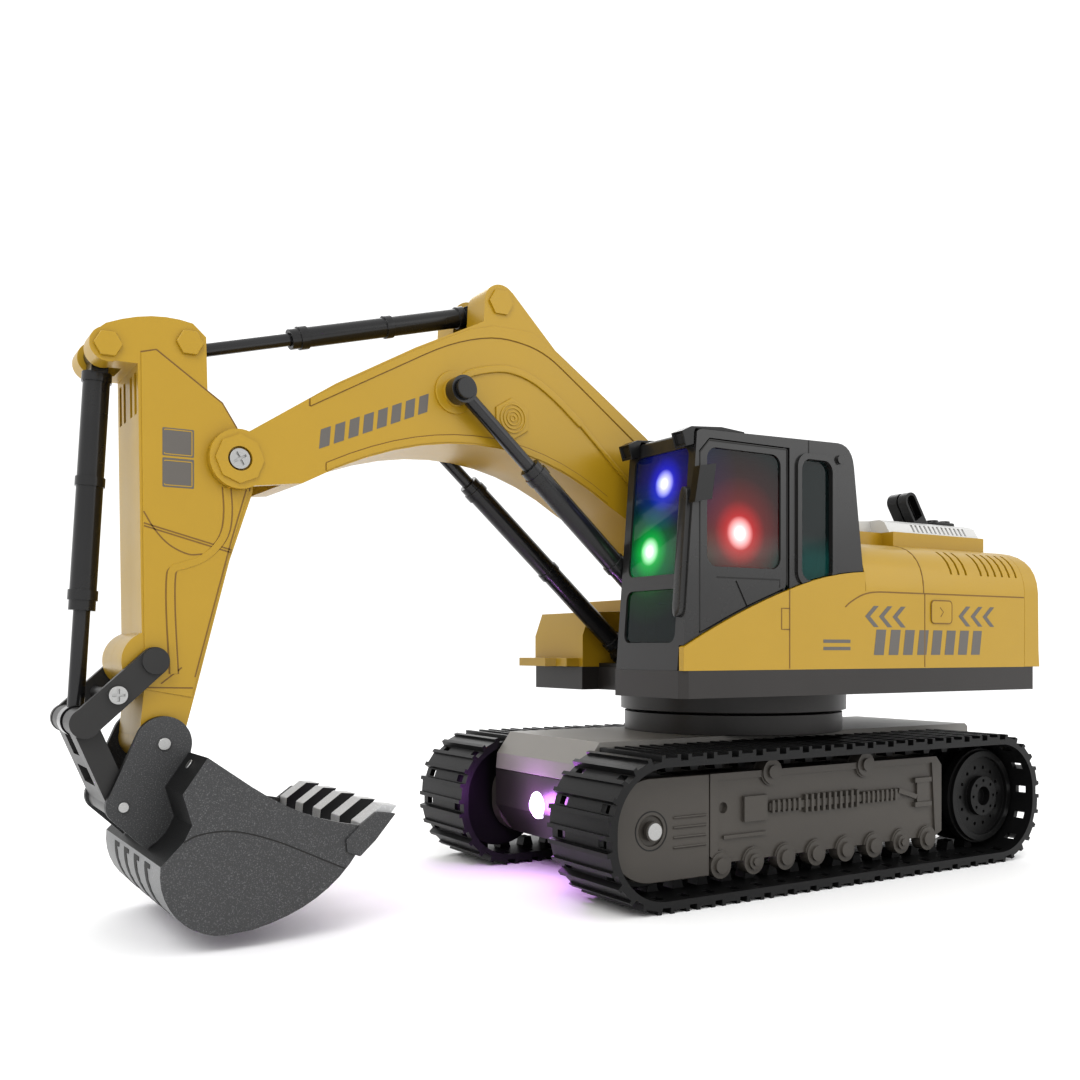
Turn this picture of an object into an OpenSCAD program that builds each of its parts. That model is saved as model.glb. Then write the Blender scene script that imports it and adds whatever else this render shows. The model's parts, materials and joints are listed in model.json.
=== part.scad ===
// Toy tracked excavator with a slewing house, a three-piece digging arm and crawler tracks.
// X points forward to the bucket, Y to the cab side, Z up; the ground is z = 0.

/* [Layout] */
// Slew axis ahead of the origin, which is the centre of the overall footprint
slew_x = -74; // [-80:1:-68]
// Overall width over the tracks
overall_w = 134; // [130:1:138]
// Height of the plane z = 0 of the body modules above the ground
datum_z = 4.8; // [4.6:0.1:5]

/* [Tracks] */
// Distance between the sprocket and idler axles
wheelbase = 169; // [166:1:172]
// Idler axle ahead of the slew axis
idler_x = 86; // [84:1:88]
// Radius of the pitch line of the belt at the corners of its loop
belt_r = 20.5; // [20.4:0.05:20.6]
// Slack of the belt above and below the wheels
belt_slack = 2; // [1.8:0.1:2.2]
// Half thickness of the belt
belt_t = 1; // [0.8:0.1:1]
// Height of the grouser lips above the pitch line
lip_h = 3.1; // [3:0.1:3.2]
// Width of a track shoe
shoe_w = 35; // [34:1:35]
// Number of shoes in one track
shoe_count = 44; // [40:1:46]
// Radius of the sprocket and idler rims
wheel_r = 19.2; // [18.8:0.1:19.3]

/* [House] */
// Half width of the house
body_y = 65; // [65:0.5:66]
// Underside of the house above the plane z = 0
house_z = 64; // [64:0.5:66]
// Height of the dark skirt round the house floor
skirt_h = 9.2; // [9:0.1:9.4]
// Inner side of the cab from the centre plane
cab_in = 27; // [27:0.5:28]
// Top of the side panels, where the hood starts
seam_z = 101.5; // [101:0.5:102]
// Top of the engine hood
hood_z = 121; // [119:0.5:122]

/* [Arm] */
// Half width of the boom
boom_y = 17.8; // [17.8:0.1:18]
// Half width of the stick
stick_y = 14.5; // [14:0.1:14.5]
// Inner face of the fork cheeks, rocker arms and bucket ears
fork_y = 15.1; // [15:0.1:15.2]
// Centre of each boom cylinder from the centre plane
ram_y = 22.4; // [22.3:0.05:22.4]
// Half width of the bucket
bucket_y = 38; // [37:0.5:39]

/* [Pivots] */
// Boom foot pivot, x and z
boom_foot = [8, 108];
// Boom cylinder foot pivot, x and z
ram_foot = [39, 79];
// Boom cylinder rod pivot on the boom, x and z
ram_head = [137, 166];
// Stick pivot at the boom tip, x and z
stick_pin = [209.5, 137.5];
// Stick cylinder pivot on the boom ear, x and z
ear_pin = [119.5, 199];
// Stick cylinder rod pivot on the stick head, x and z
head_pin = [223.5, 171];
// Bucket cylinder pivot on the stick head, x and z
nose_pin = [246.5, 167.5];
// Rocker pivot on the stick, x and z
rocker_pin = [234, 76.8];
// Pivot shared by rocker, bucket cylinder rod and link, x and z
link_pin = [253, 59.4];
// Bucket pivot at the end of the stick, x and z
bucket_pin = [231.5, 52.8];
// Link pivot between the bucket ears, x and z
ear_link_pin = [242.8, 35.2];

/* [Cylinders] */
// Radius of the boom and bucket cylinder barrels
barrel_r = 3.8; // [3.6:0.1:3.8]
// Radius of their end rings
ring_r = 4.25; // [4:0.05:4.3]
// Radius of their rods
rod_r = 2.4; // [2.2:0.1:2.5]
// Radius of the stick cylinder barrel
slim_barrel_r = 3.3; // [3.2:0.1:3.4]
// Radius of the stick cylinder rod
slim_rod_r = 2.05; // [2:0.05:2.1]

/* [Hidden] */
$fn = 48;
fit = 0.06;
gap = 0.4;
half_w = overall_w / 2;
wheel_z = belt_r + belt_slack + lip_h - datum_z;
track_y = half_w - shoe_w / 2;
sprocket_x = idler_x - wheelbase;
floor_z = house_z + skirt_h;
deck_z = 48;
deck_y = half_w - shoe_w - 1;
house_rear = -100;
tail_x = -109.5;
cab_rear = -7;
cab_front = 77.6;
cab_top_front = 71;
cab_roof_z = 154;
right_front = 56;
channel_front = 48;
cab_out = 64;
door_rear = 30.2;
door_front = 70;
door_axis = [31.6, 62.8];
ring_teeth = 40;
pinion_teeth = 12;
gear_module = 1;
pinion_x = -gear_module * (ring_teeth + pinion_teeth) / 2;
gear_z = 67.4;
lip_t = 2.5;
boom_ram_gap = 2.1;
stick_ram_gap = 2.7;
bucket_ram_gap = 1.6;

// ---------- helpers ----------

// Machine coordinates, measured from the slew axis, placed in the frame of the part.
module placed() translate([slew_x, 0, datum_z]) children();

// A side outline, drawn as x and z, extruded from y0 to y1.
module slab(y0, y1) translate([0, y1, 0]) rotate([90, 0, 0]) linear_extrude(y1 - y0) children();

// A cross outline, drawn as y and z, extruded from x0 to x1.
module bar(x0, x1) translate([x0, 0, 0]) rotate([90, 0, 90]) linear_extrude(x1 - x0) children();

// A plan outline, drawn as x and y, extruded from z0 to z1.
module plate(z0, z1) translate([0, 0, z0]) linear_extrude(z1 - z0) children();

// A cylinder along Y through the point p = [x, z].
module pin(p, r, y0, y1) translate([p[0], y1, p[1]]) rotate([90, 0, 0]) cylinder(r = r, h = y1 - y0);

module block(x0, x1, y0, y1, z0, z1) translate([x0, y0, z0]) cube([x1 - x0, y1 - y0, z1 - z0]);

module disc_at(p, r) translate(p) circle(r = r);

module both_sides() {
    children();
    mirror([0, 1, 0]) children();
}

// A rectangle from [x0, y0] to [x1, y1] with round corners.
module round_box(x0, y0, x1, y1, r) {
    translate([x0 + r, y0]) square([x1 - x0 - 2 * r, y1 - y0]);
    translate([x0, y0 + r]) square([x1 - x0, y1 - y0 - 2 * r]);
    for (x = [x0 + r, x1 - r], y = [y0 + r, y1 - r]) disc_at([x, y], r);
}

// Points of a quadratic curve from a to c that leans towards b.
function curve(a, b, c, n = 8) =
    [for (i = [0:n]) let (t = i / n) (1 - t) * (1 - t) * a + 2 * t * (1 - t) * b + t * t * c];

// Points of an arc from angle a0 to a1.
function arc(c, r, a0, a1, n = 8) =
    [for (i = [0:n]) let (a = a0 + (a1 - a0) * i / n) c + r * [cos(a), sin(a)]];

// A bar of half width w between two points, for 2D outlines.
module strut(a, b, w) {
    d = b - a;
    translate(a) rotate(atan2(d[1], d[0])) translate([0, -w]) square([norm(d), 2 * w]);
}

// Places children, drawn along +X, from point a towards point b in the x-z plane.
module aim(a, b, y = 0) {
    d = b - a;
    translate([a[0], y, a[1]]) rotate([0, -atan2(d[1], d[0]), 0]) children();
}

module rod_x(r, x0, x1) translate([x0, 0, 0]) rotate([0, 90, 0]) cylinder(r = r, h = x1 - x0);

// Pan-head screw along Z, head up, with a cross recess.
module screw(head_r, shank_r, length) {
    difference() {
        union() {
            cylinder(r = head_r, h = 1.6);
            translate([0, 0, -length]) cylinder(r = shank_r, h = length + 0.1);
        }
        for (a = [0, 90]) rotate(a) translate([-head_r * 0.7, -0.35, 0.8]) cube([head_r * 1.4, 0.7, 2]);
    }
}

// ---------- undercarriage ----------

// Path of the belt, grown by r: a rectangle with round corners.
module loop_outline(r) {
    for (x = [sprocket_x, idler_x], s = [-1, 1]) disc_at([x, wheel_z + s * belt_slack], r);
    translate([sprocket_x, wheel_z - belt_slack - r]) square([wheelbase, 2 * (belt_slack + r)]);
    translate([sprocket_x - r, wheel_z - belt_slack]) square([wheelbase + 2 * r, 2 * belt_slack]);
}

quarter_bend = PI * belt_r / 2;
half_loop = wheelbase + 2 * quarter_bend + 2 * belt_slack;
loop_mid = (sprocket_x + idler_x) / 2;

function loop_corner(z, s) = let (a = s / belt_r * 180 / PI)
    [wheelbase / 2 + belt_r * sin(a), z + belt_r * cos(a), -a];

// Position and turn on the upper and front half of the belt at distance s: [x, z, angle].
function loop_half(s) =
    s < wheelbase ? [s - wheelbase / 2, belt_slack + belt_r, 0]
    : s < wheelbase + quarter_bend ? loop_corner(belt_slack, s - wheelbase)
    : s < wheelbase + quarter_bend + 2 * belt_slack
        ? [wheelbase / 2 + belt_r, belt_slack - (s - wheelbase - quarter_bend), -90]
    : loop_corner(-belt_slack, s - wheelbase - 2 * belt_slack);

function loop_place(s) =
    s < half_loop ? loop_half(s) : let (p = loop_half(s - half_loop)) [-p[0], -p[1], p[2] + 180];

// Side outline of one shoe: a plate with a grouser lip at each end.
module shoe_outline() {
    translate([-3.9, belt_t - 0.4]) square([7.8, 1.4]);
    for (x = [-3.9, 2.4]) translate([x, belt_t]) square([1.5, lip_h - belt_t]);
}

module guide_outline() polygon([[-2.5, -belt_t + 0.2], [2.5, -belt_t + 0.2], [1.5, -4.4], [-1.5, -4.4]]);

// Places children at every shoe, or midway between shoes with shift 0.
module each_shoe(shift = 0.5) for (i = [0:shoe_count - 1]) {
    p = loop_place((i + shift) * 2 * half_loop / shoe_count);
    translate([loop_mid + p[0], wheel_z + p[1]]) rotate(p[2]) children();
}

module track_belt() color([0.10, 0.10, 0.10]) {
    difference() {
        slab(track_y - shoe_w / 2, track_y + shoe_w / 2) {
            difference() {
                loop_outline(belt_r + belt_t);
                loop_outline(belt_r - belt_t);
            }
            intersection() {
                each_shoe() shoe_outline();
                loop_outline(belt_r + lip_h);
            }
        }
        for (s = [-1, 1]) slab(track_y + s * 12 - 2.2, track_y + s * 12 + 2.2)
            each_shoe(0) translate([-1.4, -belt_t - 0.5]) square([2.8, 2 * belt_t + 1]);
    }
    slab(track_y - 2.6, track_y + 2.6) each_shoe() guide_outline();
}

module track_belt_left() placed() track_belt();

module track_belt_right() placed() mirror([0, 1, 0]) track_belt();

// Side frame: inner plate, beam core and outer panel with its relief, and the idler axle.
frame_in = deck_y + 1.2;
panel_y = half_w - 8.5;
roller_z = 6.6;
roller_xs = [for (i = [0:7]) 56.5 - i * 15];
carrier_xs = [33, -14];

module track_frame() color([0.33, 0.31, 0.28]) {
    difference() {
        union() {
            slab(frame_in, frame_in + 5.4) round_box(-88, 8, 92, 36, 12);
            block(-57, 60.5, frame_in + 5, panel_y - 3.8, 10, 36.5);
            slab(panel_y - 4, panel_y) polygon([[-57, 9], [-53, 7.2], [57, 7.2], [61, 10], [61, 38],
                [-54, 38.4], [-57, 35]]);
            for (x = roller_xs) pin([x, roller_z], 4.5, panel_y - 4, panel_y + 0.4);
            for (x = carrier_xs) pin([x, 37.3], 4.4, panel_y - 4, panel_y + 0.6);
        }
        pin([sprocket_x, wheel_z], 4.6, frame_in - 1, frame_in + 6);
        slab(panel_y - 0.8, panel_y + 1) difference() {
            frame_recess();
            for (x = roller_xs) disc_at([x, roller_z], 5.1);
            for (x = carrier_xs) disc_at([x, 37.3], 5);
        }
        pin([54.6, 26], 1.9, panel_y - 2.4, panel_y + 1);
    }
    pin([idler_x, wheel_z], 2.5, frame_in + 5.3, panel_y + 0.4);
    pin([idler_x, wheel_z], 3.3, panel_y + 0.3, panel_y + 1.8);
    frame_relief();
    carrier_rollers();
}

module frame_recess() polygon([[-53.4, 6], [57.6, 6], [57.6, 35.6], [-51.4, 36]]);

// Raised tensioner spring with its end blocks, roller bosses and carrier bosses on the outer panel.
module frame_relief() {
    for (x = roller_xs) pin([x, roller_z], 2.7, panel_y, panel_y + 1.3);
    for (x = carrier_xs) pin([x, 37.3], 2.3, panel_y, panel_y + 1.5);
    block(-33, 34, panel_y - 1, panel_y + 0.1, 23.6, 26.2);
    for (i = [0:5]) coil(32 - i * 2.5, 2.2);
    for (i = [0:9]) coil(16 - i * 2.9, 3.2);
    for (i = [0:7]) coil(-13.4 - i * 2.5, 2.2);
    block(35.4, 46, panel_y - 1, panel_y + 0.5, 20.6, 29.4);
    block(35.4, 55, panel_y - 1, panel_y + 0.1, 15.4, 16.6);
    block(-49.4, -42.6, panel_y - 1, panel_y + 0.2, 19.4, 30.6);
    for (z = [19.4, 28.8]) block(-50.4, -41, panel_y - 1, panel_y + 0.7, z, z + 1.8);
    slab(panel_y - 1, panel_y + 0.6) strut([-32, 26.4], [-42, 23.4], 0.9);
}

// One turn of the spring, h high above and below its centre line.
module coil(x, h) block(x, x + 1.2, panel_y - 1, panel_y + 0.7, 25 - h, 25 + h);

module carrier_rollers() for (x = carrier_xs) {
    pin([x, 36.4], 5.2, panel_y - 15, panel_y - 12.6);
    pin([x, 36.4], 5.2, panel_y - 4.6, panel_y - 4);
}

module track_frame_left() placed() track_frame();

module track_frame_right() placed() mirror([0, 1, 0]) track_frame();

// Rounded cover in front of each idler, with three raised ribs.
module idler_guards() placed() color([0.34, 0.32, 0.29]) both_sides() difference() {
    union() {
        slab(panel_y - 3.6, panel_y) intersection() {
            union() {
                translate([61.4, wheel_z - 17.2]) square([idler_x - 61.4, 34.4]);
                disc_at([idler_x, wheel_z], 17.2);
            }
            square([100.6, 60]);
        }
        for (z = [14.2, 17.5, 20.8, 24.1]) block(63, 77, panel_y - 0.5, panel_y + 0.6, z, z + 0.8);
    }
    pin([idler_x, wheel_z], 2.5 + fit, panel_y - 5, panel_y + 0.3);
    pin([idler_x, wheel_z], 5, panel_y - 0.8, panel_y + 3);
}

// Rims of a wheel on both sides of the guide lugs.
module wheel_rims() difference() {
    union() {
        pin([0, 0], wheel_r, track_y - 7.6, track_y - 3.4);
        pin([0, 0], wheel_r, track_y + 3.4, track_y + (panel_y - 4.4 - track_y));
        pin([0, 0], 14.5, track_y - 3.5, track_y + 3.5);
    }
    children();
}

module idler_wheel() color([0.2, 0.19, 0.18]) translate([idler_x, 0, wheel_z])
    wheel_rims() pin([0, 0], 2.5 + fit, 0, half_w);

module idler_left() placed() idler_wheel();

module idler_right() placed() mirror([0, 1, 0]) idler_wheel();

// Sprocket: rim discs, an outer disc with two rings of holes, a hub and its drive shaft.
module sprocket_wheel() color([0.19, 0.19, 0.19]) translate([sprocket_x, 0, wheel_z]) difference() {
    union() {
        pin([0, 0], wheel_r, track_y - 7.6, track_y - 3.4);
        pin([0, 0], 14.5, track_y - 3.5, track_y + 3.5);
        pin([0, 0], wheel_r, track_y + 3.4, panel_y - 2.4);
        difference() {
            pin([0, 0], wheel_r - 1, panel_y - 2.5, panel_y - 0.8);
            pin([0, 0], wheel_r - 3.4, panel_y - 2.4, panel_y);
        }
        pin([0, 0], 8, panel_y - 2.5, panel_y - 0.2);
        pin([0, 0], 2.4, 28, track_y - 7);
    }
    for (i = [0:13]) rotate([0, i * 360 / 14, 0]) pin([11.6, 0], 0.7, panel_y - 3.4, panel_y);
    for (i = [0:7]) rotate([0, i * 45, 0]) pin([6.2, 0], 0.6, panel_y - 2, panel_y);
    pin([0, 0], 3.8, panel_y - 3, panel_y + 1);
}

module sprocket_left() placed() sprocket_wheel();

module sprocket_right() placed() mirror([0, 1, 0]) sprocket_wheel();

// Gear housing and motor can that drive each sprocket shaft.
module drive_gearboxes() placed() color([0.86, 0.85, 0.8]) both_sides() {
    difference() {
        block(sprocket_x - 12, sprocket_x + 12, 17, deck_y - 2.4, 12.5, 34);
        pin([sprocket_x, wheel_z], 2.4 + fit, 20, half_w);
    }
    translate([sprocket_x + 11.9, 22.4, wheel_z + 2]) rod_x(6, 0, 25);
}

// Top shell between the tracks, with a bevelled nose and the seat of the slew ring.
module chassis_deck() placed() color([0.62, 0.61, 0.58]) difference() {
    union() {
        slab(-deck_y, deck_y) polygon([[-103, 34], [94, 34], [93.4, 40], [87.5, deck_z], [-107, deck_z],
            [-108.6, 46.6], [-108.6, 42]]);
        screw_posts(2.6, 12, deck_z - 2);
    }
    difference() {
        block(-100.5, 89, -deck_y + 2, deck_y - 2, 30, deck_z - 2.2);
        screw_posts(2.6, 12, deck_z);
    }
    screw_posts(0.9, 11, 24);
    cylinder(r = 12, h = 80);
}

screw_places = [[-60, -12], [-60, 12], [78, -24], [78, 24]];

module screw_posts(r, z0, z1) for (p = screw_places) translate([p[0], p[1], z0]) cylinder(r = r, h = z1 - z0);

// Bottom shell: floor, walls and the front face with the light socket.
module chassis_tray() placed() color([0.26, 0.25, 0.24]) difference() {
    union() {
        slab(-deck_y, deck_y) polygon([[-103, 33.8], [-103, 18], [-96, 9], [86, 9], [94, 20], [94, 33.8]]);
        both_sides() block(-58, 58, deck_y - 0.1, frame_in, 14, 30);
    }
    slab(-deck_y + 2.2, deck_y - 2.2) polygon([[-100.6, 40], [-100.6, 19], [-95, 11.2], [85, 11.2],
        [91.6, 20.6], [91.6, 40]]);
    for (s = [-1, 1]) pin([sprocket_x, wheel_z], 3.4, s > 0 ? 20 : -40, s > 0 ? 40 : -20);
    translate([90, 0, 23]) rod_x(5 + fit, 0, 6);
    block(-44.4, 10.4, -17.4, 17.4, 8, 12);
    block(34, 44, -3.2, 3.2, 8, 12);
    screw_posts(1.6, 8, 10.6);
    screw_posts(1, 10, 12);
}

module battery_door() placed() color([0.24, 0.23, 0.22]) {
    block(-44, 10, -17, 17, 9, 11);
    for (i = [0:5]) block(2 + i * 1.2, 2.6 + i * 1.2, -8, 8, 8.5, 9.1);
}

module battery_pack() placed() color([0.15, 0.35, 0.7]) {
    for (y = [-7.4, 7.4]) translate([-43, y, 19]) rod_x(7.2, 0, 52);
}

// Four screws through the tray floor into the posts of the deck.
module chassis_screws() placed() color([0.75, 0.75, 0.74]) {
    for (p = screw_places) translate([p[0], p[1], 10.6]) mirror([0, 0, 1]) screw(1.5, 0.9, 12);
}

module front_light() placed() color([0.85, 0.88, 0.95]) translate([0, 0, 23]) {
    translate([90.4, 0, 0]) rod_x(5, 0, 3.8);
    translate([94.1, 0, 0]) rotate([0, 90, 0]) rotate_extrude() difference() {
        translate([0, -3]) intersection() {
            circle(r = 5.4);
            translate([0, 3]) square([6, 3]);
        }
    }
}

module power_switch() placed() color([0.08, 0.08, 0.08]) {
    block(35, 39.5, -2.4, 2.4, 9.6, 12.6);
    for (i = [0:3]) block(35.3 + i, 35.8 + i, -2, 2, 8.2, 9.8);
}

// Lower slew ring with its neck, the catch flange and the fixed ring gear.
module slew_ring() placed() color([0.24, 0.23, 0.22]) difference() {
    union() {
        plate(deck_z, 55.6) circle(r = 44);
        plate(55.5, 60.6) circle(r = 36);
        plate(60.5, 62.6) circle(r = 39.6);
        plate(62.5, gear_z) circle(r = 17.5);
        plate(gear_z - 0.1, gear_z + 4) gear_outline(ring_teeth, 0.28);
    }
    translate([0, 0, deck_z - 1]) cylinder(r = 11, h = 30);
}

// Straight-flanked gear with play between the flanks.
module gear_outline(teeth, play) {
    pitch_r = gear_module * teeth / 2;
    circle(r = pitch_r - 1.05);
    for (i = [0:teeth - 1]) rotate(i * 360 / teeth) translate([pitch_r, 0])
        polygon([[-1.3, -1.02 + play], [0, -0.78 + play], [0.75, -0.42 + play / 2],
            [0.75, 0.42 - play / 2], [0, 0.78 - play], [-1.3, 1.02 - play]]);
}

// ---------- house ----------

// Plan outline of the house floor: cab block, boom channel and right-hand block.
module house_plan() polygon([[tail_x + 4, -body_y], [right_front - 2, -body_y], [right_front, -body_y + 2],
    [right_front, -cab_in], [channel_front, -cab_in], [channel_front, cab_in], [cab_front + 0.4, cab_in],
    [cab_front + 0.4, body_y - 2.5], [cab_front - 2, body_y], [tail_x + 4, body_y], [tail_x + 1, body_y - 4],
    [tail_x + 1, -body_y + 4]]);

module house_cavity() {
    translate([tail_x + 4, -body_y + 2.2]) square([cab_rear - tail_x - 4 + 34, 2 * body_y - 4.4]);
    translate([20, cab_in + 2.2]) square([cab_front - 22.4, body_y - cab_in - 4.4]);
    translate([20, -body_y + 2.2]) square([right_front - 22.4, body_y - cab_in - 4.4]);
}

module house_base() placed() color([0.26, 0.25, 0.24]) difference() {
    union() {
        plate(house_z, floor_z) house_plan();
        plate(56.6, house_z + 0.1) circle(r = 45.5);
    }
    plate(house_z + 2.4, floor_z + 1) house_cavity();
    plate(56, 57.1) circle(r = 37.4);
    plate(57, 59.6) circle(r = 37.4);
    plate(59.5, house_z - 0.4) circle(r = 41.5);
    translate([0, 0, 60]) cylinder(r = 23, h = 10);
    for (s = [-1, 1]) translate([pinion_x, s * 9, house_z]) cylinder(r = 0.8, h = 5);
}

// Boom mount: base plate over the channel, cheeks for the foot pin and lugs for the cylinder pins.
module boom_bracket() placed() color([0.2, 0.2, 0.2]) {
    difference() {
        union() {
            block(-2, channel_front, -cab_in + 0.4, cab_in - 0.4, floor_z, floor_z + 1.6);
            both_sides() slab(18.4, 21.4) {
                polygon([[-4, floor_z + 0.8], [20, floor_z + 0.8], [18.6, 108], [-2.6, 108]]);
                disc_at(boom_foot, 10.6);
            }
            slab(-17.4, 17.4) polygon([[31, floor_z + 0.8], [47, floor_z + 0.8], [44, 80], [39, 83.6],
                [34.6, 80]]);
        }
        pin(boom_foot, 3, -22, 22);
    }
    pin(boom_foot, 3, -21.4, 21.4);
    both_sides() pin(boom_foot, 4.4, 21.3, 22.6);
    both_sides() pin(ram_foot, 2.4, 17.3, 26.6);
}

function swoosh_curve(lift = 0) = concat(
    curve([cab_front, 81 + lift], [54, 93.5 + lift], [30, 101.3 + lift], 8),
    curve([29.9, 101.35 + lift], [12, 107.6 + lift], [cab_rear, 108.6 + lift], 6));

// Yellow panel that sweeps up behind the cab door; a bore in its edge seats the door's hinge rod.
module side_panel_left() placed() color([0.80, 0.63, 0.24]) difference() {
    union() {
        slab(body_y - 2.6, body_y) polygon(concat([[cab_front, floor_z]], swoosh_curve(),
            [[cab_rear - 0.1, seam_z], [house_rear, seam_z], [house_rear, floor_z]]));
        block(house_rear, cab_rear - 0.3, body_y - 5, body_y - 2.5, floor_z, floor_z + 4);
    }
    translate([door_axis[0], door_axis[1], 90]) cylinder(r = 0.7, h = 12);
}

// Right-hand body: side wall, deck beside the boom channel and the channel wall.
module side_panel_right() placed() color([0.80, 0.63, 0.24]) {
    block(house_rear, right_front - 27, -body_y, -body_y + 2.4, floor_z, seam_z);
    block(cab_rear, right_front - 27, -body_y + 0.1, -cab_in - 0.1, seam_z - 2.4, seam_z);
    block(cab_rear, right_front - 27, -cab_in - 2.5, -cab_in - 0.1, floor_z, seam_z - 1);
    block(right_front - 29.4, right_front - 27, -body_y + 1, -cab_in - 0.2, floor_z, seam_z - 1);
}

module tool_box() placed() color([0.80, 0.63, 0.24]) {
    difference() {
        slab(-body_y + 0.6, -cab_in - 0.4) polygon([[right_front - 26.8, floor_z], [right_front - 0.5, floor_z],
            [right_front - 0.5, 86], [right_front - 4, 95.6], [right_front - 26.8, 96.4]]);
        slab(-body_y + 2.8, -cab_in - 2.6) polygon([[right_front - 25, floor_z - 1], [right_front - 2.8, floor_z - 1],
            [right_front - 2.8, 85.4], [right_front - 6, 93.2], [right_front - 25, 94]]);
    }
    plate(floor_z + 0.2, floor_z + 3.6) polygon([[right_front - 0.6, -body_y + 1], [right_front + 9, -body_y + 3],
        [right_front + 9, -cab_in - 14], [right_front + 5, -cab_in - 12], [right_front + 5, -cab_in - 4],
        [right_front - 0.6, -cab_in - 3]]);
}

module shoulder_outline(inset) polygon(concat(
    [[-body_y + inset, seam_z - (inset > 0 ? 1 : 0)], [body_y - inset, seam_z - (inset > 0 ? 1 : 0)]],
    curve([body_y - inset, seam_z + 2], [body_y - inset - 1, hood_z - inset], [body_y - 19, hood_z - inset], 8),
    curve([-body_y + 19, hood_z - inset], [-body_y + inset + 1, hood_z - inset], [-body_y + inset, seam_z + 2], 8)));

// Engine hood with rounded shoulders, a raised plinth, louvres and a front wall.
module engine_hood() placed() color([0.80, 0.63, 0.24]) difference() {
    union() {
        bar(house_rear, cab_rear - 0.3) shoulder_outline(0);
        block(house_rear, -46, -44, 44, hood_z - 0.5, 127.4);
        block(-102, -99, -44, 44, hood_z + 0.05, 127.4);
        block(-47, -30, -44, 38, hood_z - 0.5, 127.4);
    }
    bar(house_rear - 1, cab_rear - 2.7) shoulder_outline(2.4);
    block(-99, -49, -41, 41, hood_z - 4, 125.2);
    block(-50, -33, -41, 35, hood_z - 4, 125.2);
    block(-11, -6, -5.3, 5.3, 99.7, 110.3);
    for (i = [0:2], s = [-1, 1]) translate([-56 - i * 4.4, s * 60, hood_z - 7]) rotate([s * 38, 0, 0])
        block(-0.6, 0.6, -9, 9, -6, 6);
    for (i = [0:5], s = [-1, 1]) translate([-74 - i * 4.4, s * 60, hood_z - 7]) rotate([s * 38, 0, 0])
        block(-0.6, 0.6, -9, 9, -6, 6);
}

// What the rear shell loses outside the hood's shoulders.
module corner_cut(t) for (y = [-body_y - 1, body_y - 19 - t]) difference() {
    bar(tail_x - 2, house_rear + 1) translate([y, seam_z + 2 - t]) square([20 + t, 22]);
    bar(tail_x - 3, house_rear + 2) shoulder_outline(t);
}

// Rear shell with rounded upper corners.
module counterweight() placed() color([0.80, 0.63, 0.24]) difference() {
    slab(-body_y, body_y) polygon(concat([[house_rear - 0.2, floor_z], [tail_x - 0.5, floor_z], [tail_x, 80]],
        curve([tail_x + 0.4, 108], [tail_x + 0.9, hood_z - 0.3], [house_rear - 3.5, hood_z], 8),
        [[house_rear - 0.2, hood_z]]));
    difference() {
        slab(-body_y + 2.4, body_y - 2.4) polygon(concat([[house_rear, floor_z - 1], [tail_x + 2, floor_z - 1]],
            curve([tail_x + 2.6, 107], [tail_x + 3, hood_z - 2.6], [house_rear - 2.5, hood_z - 2.5], 6),
            [[house_rear, hood_z - 2.5]]));
        corner_cut(2.4);
    }
    corner_cut(0);
}

module grille_outline(t) polygon([[-42 + 2 * t, 127.4 - 0.6 * t], [42 - 2 * t, 127.4 - 0.6 * t],
    [39.5 - 1.7 * t, 131.6 - t], [37 - t, 132.8 - 1.6 * t], [-37 + t, 132.8 - 1.6 * t], [-39.5 + 1.7 * t, 131.6 - t]]);

// White cover with a row of slots down each side and a lower, bevelled nose.
module top_grille() placed() color([0.78, 0.78, 0.76]) difference() {
    union() {
        bar(-101.5, -46) grille_outline(0);
        slab(-36, 32) polygon([[-46.2, 127.4], [-34, 127.4], [-36, 131], [-39, 132.3], [-46.2, 132.8]]);
    }
    bar(-100.5, -47) grille_outline(1);
    for (i = [0:12]) block(-94.2 + i * 2.67, -93 + i * 2.67, -44, 44, 128.2, 131.4);
}

module exhaust_outline(r) difference() {
    union() {
        strut([-75, 129], [-66.4, 142], r);
        disc_at([-66.4, 142], r);
    }
    translate([-90, 120]) square([40, 12.8]);
}

// Flattened pipe that leans forward over the grille, with a groove round its middle.
module exhaust_stack() placed() color([0.08, 0.08, 0.08]) difference() {
    union() {
        slab(26, 31.1) exhaust_outline(3.6);
        slab(31, 31.9) exhaust_outline(2.8);
        slab(31.8, 36) exhaust_outline(3.6);
    }
    slab(32.6, 37) {
        strut([-71, 135], [-66.4, 142], 2.3);
        disc_at([-66.4, 142], 2.3);
    }
}

module filler_cover() placed() color([0.1, 0.1, 0.1]) {
    plate(132.8, 134.2) translate([-87, 32.4]) round_box(-8.4, -4, 8.4, 4, 3.9);
    for (x = [-83.5, -90.9]) plate(134.1, 135.2) translate([x, 32.4]) circle(r = 2.6);
}

// Cab side outline, from the floor up over the roof.
module cab_outline() polygon(concat([[cab_rear, floor_z], [cab_front, floor_z], [cab_top_front + 0.4, 151]],
    curve([cab_top_front + 0.3, 152], [cab_top_front, 153], [cab_top_front - 2, 153.2], 3),
    curve([6, cab_roof_z + 0.6], [-1.2, cab_roof_z + 0.4], [-2.2, 146.5], 6), [[cab_rear, 108]]));

module cab_cavity() polygon([[cab_rear + 2.4, floor_z + 2], [cab_front - 2.4, floor_z + 2],
    [cab_top_front - 1.8, 150.6], [4.4, 151.8], [0.4, 146], [cab_rear + 2.5, 107.6]]);

module door_outline(grow) polygon(concat([[door_front + grow, 86 - grow]],
    [for (p = swoosh_curve(0.9 - grow)) if (p[0] < door_front - 0.5 && p[0] > door_rear + 1.2) p],
    [[door_rear - grow, 102 - grow], [door_rear - grow, 150.2 + grow], [door_front - 4, 150.2 + grow],
    [door_front + grow, 146]]));

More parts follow.
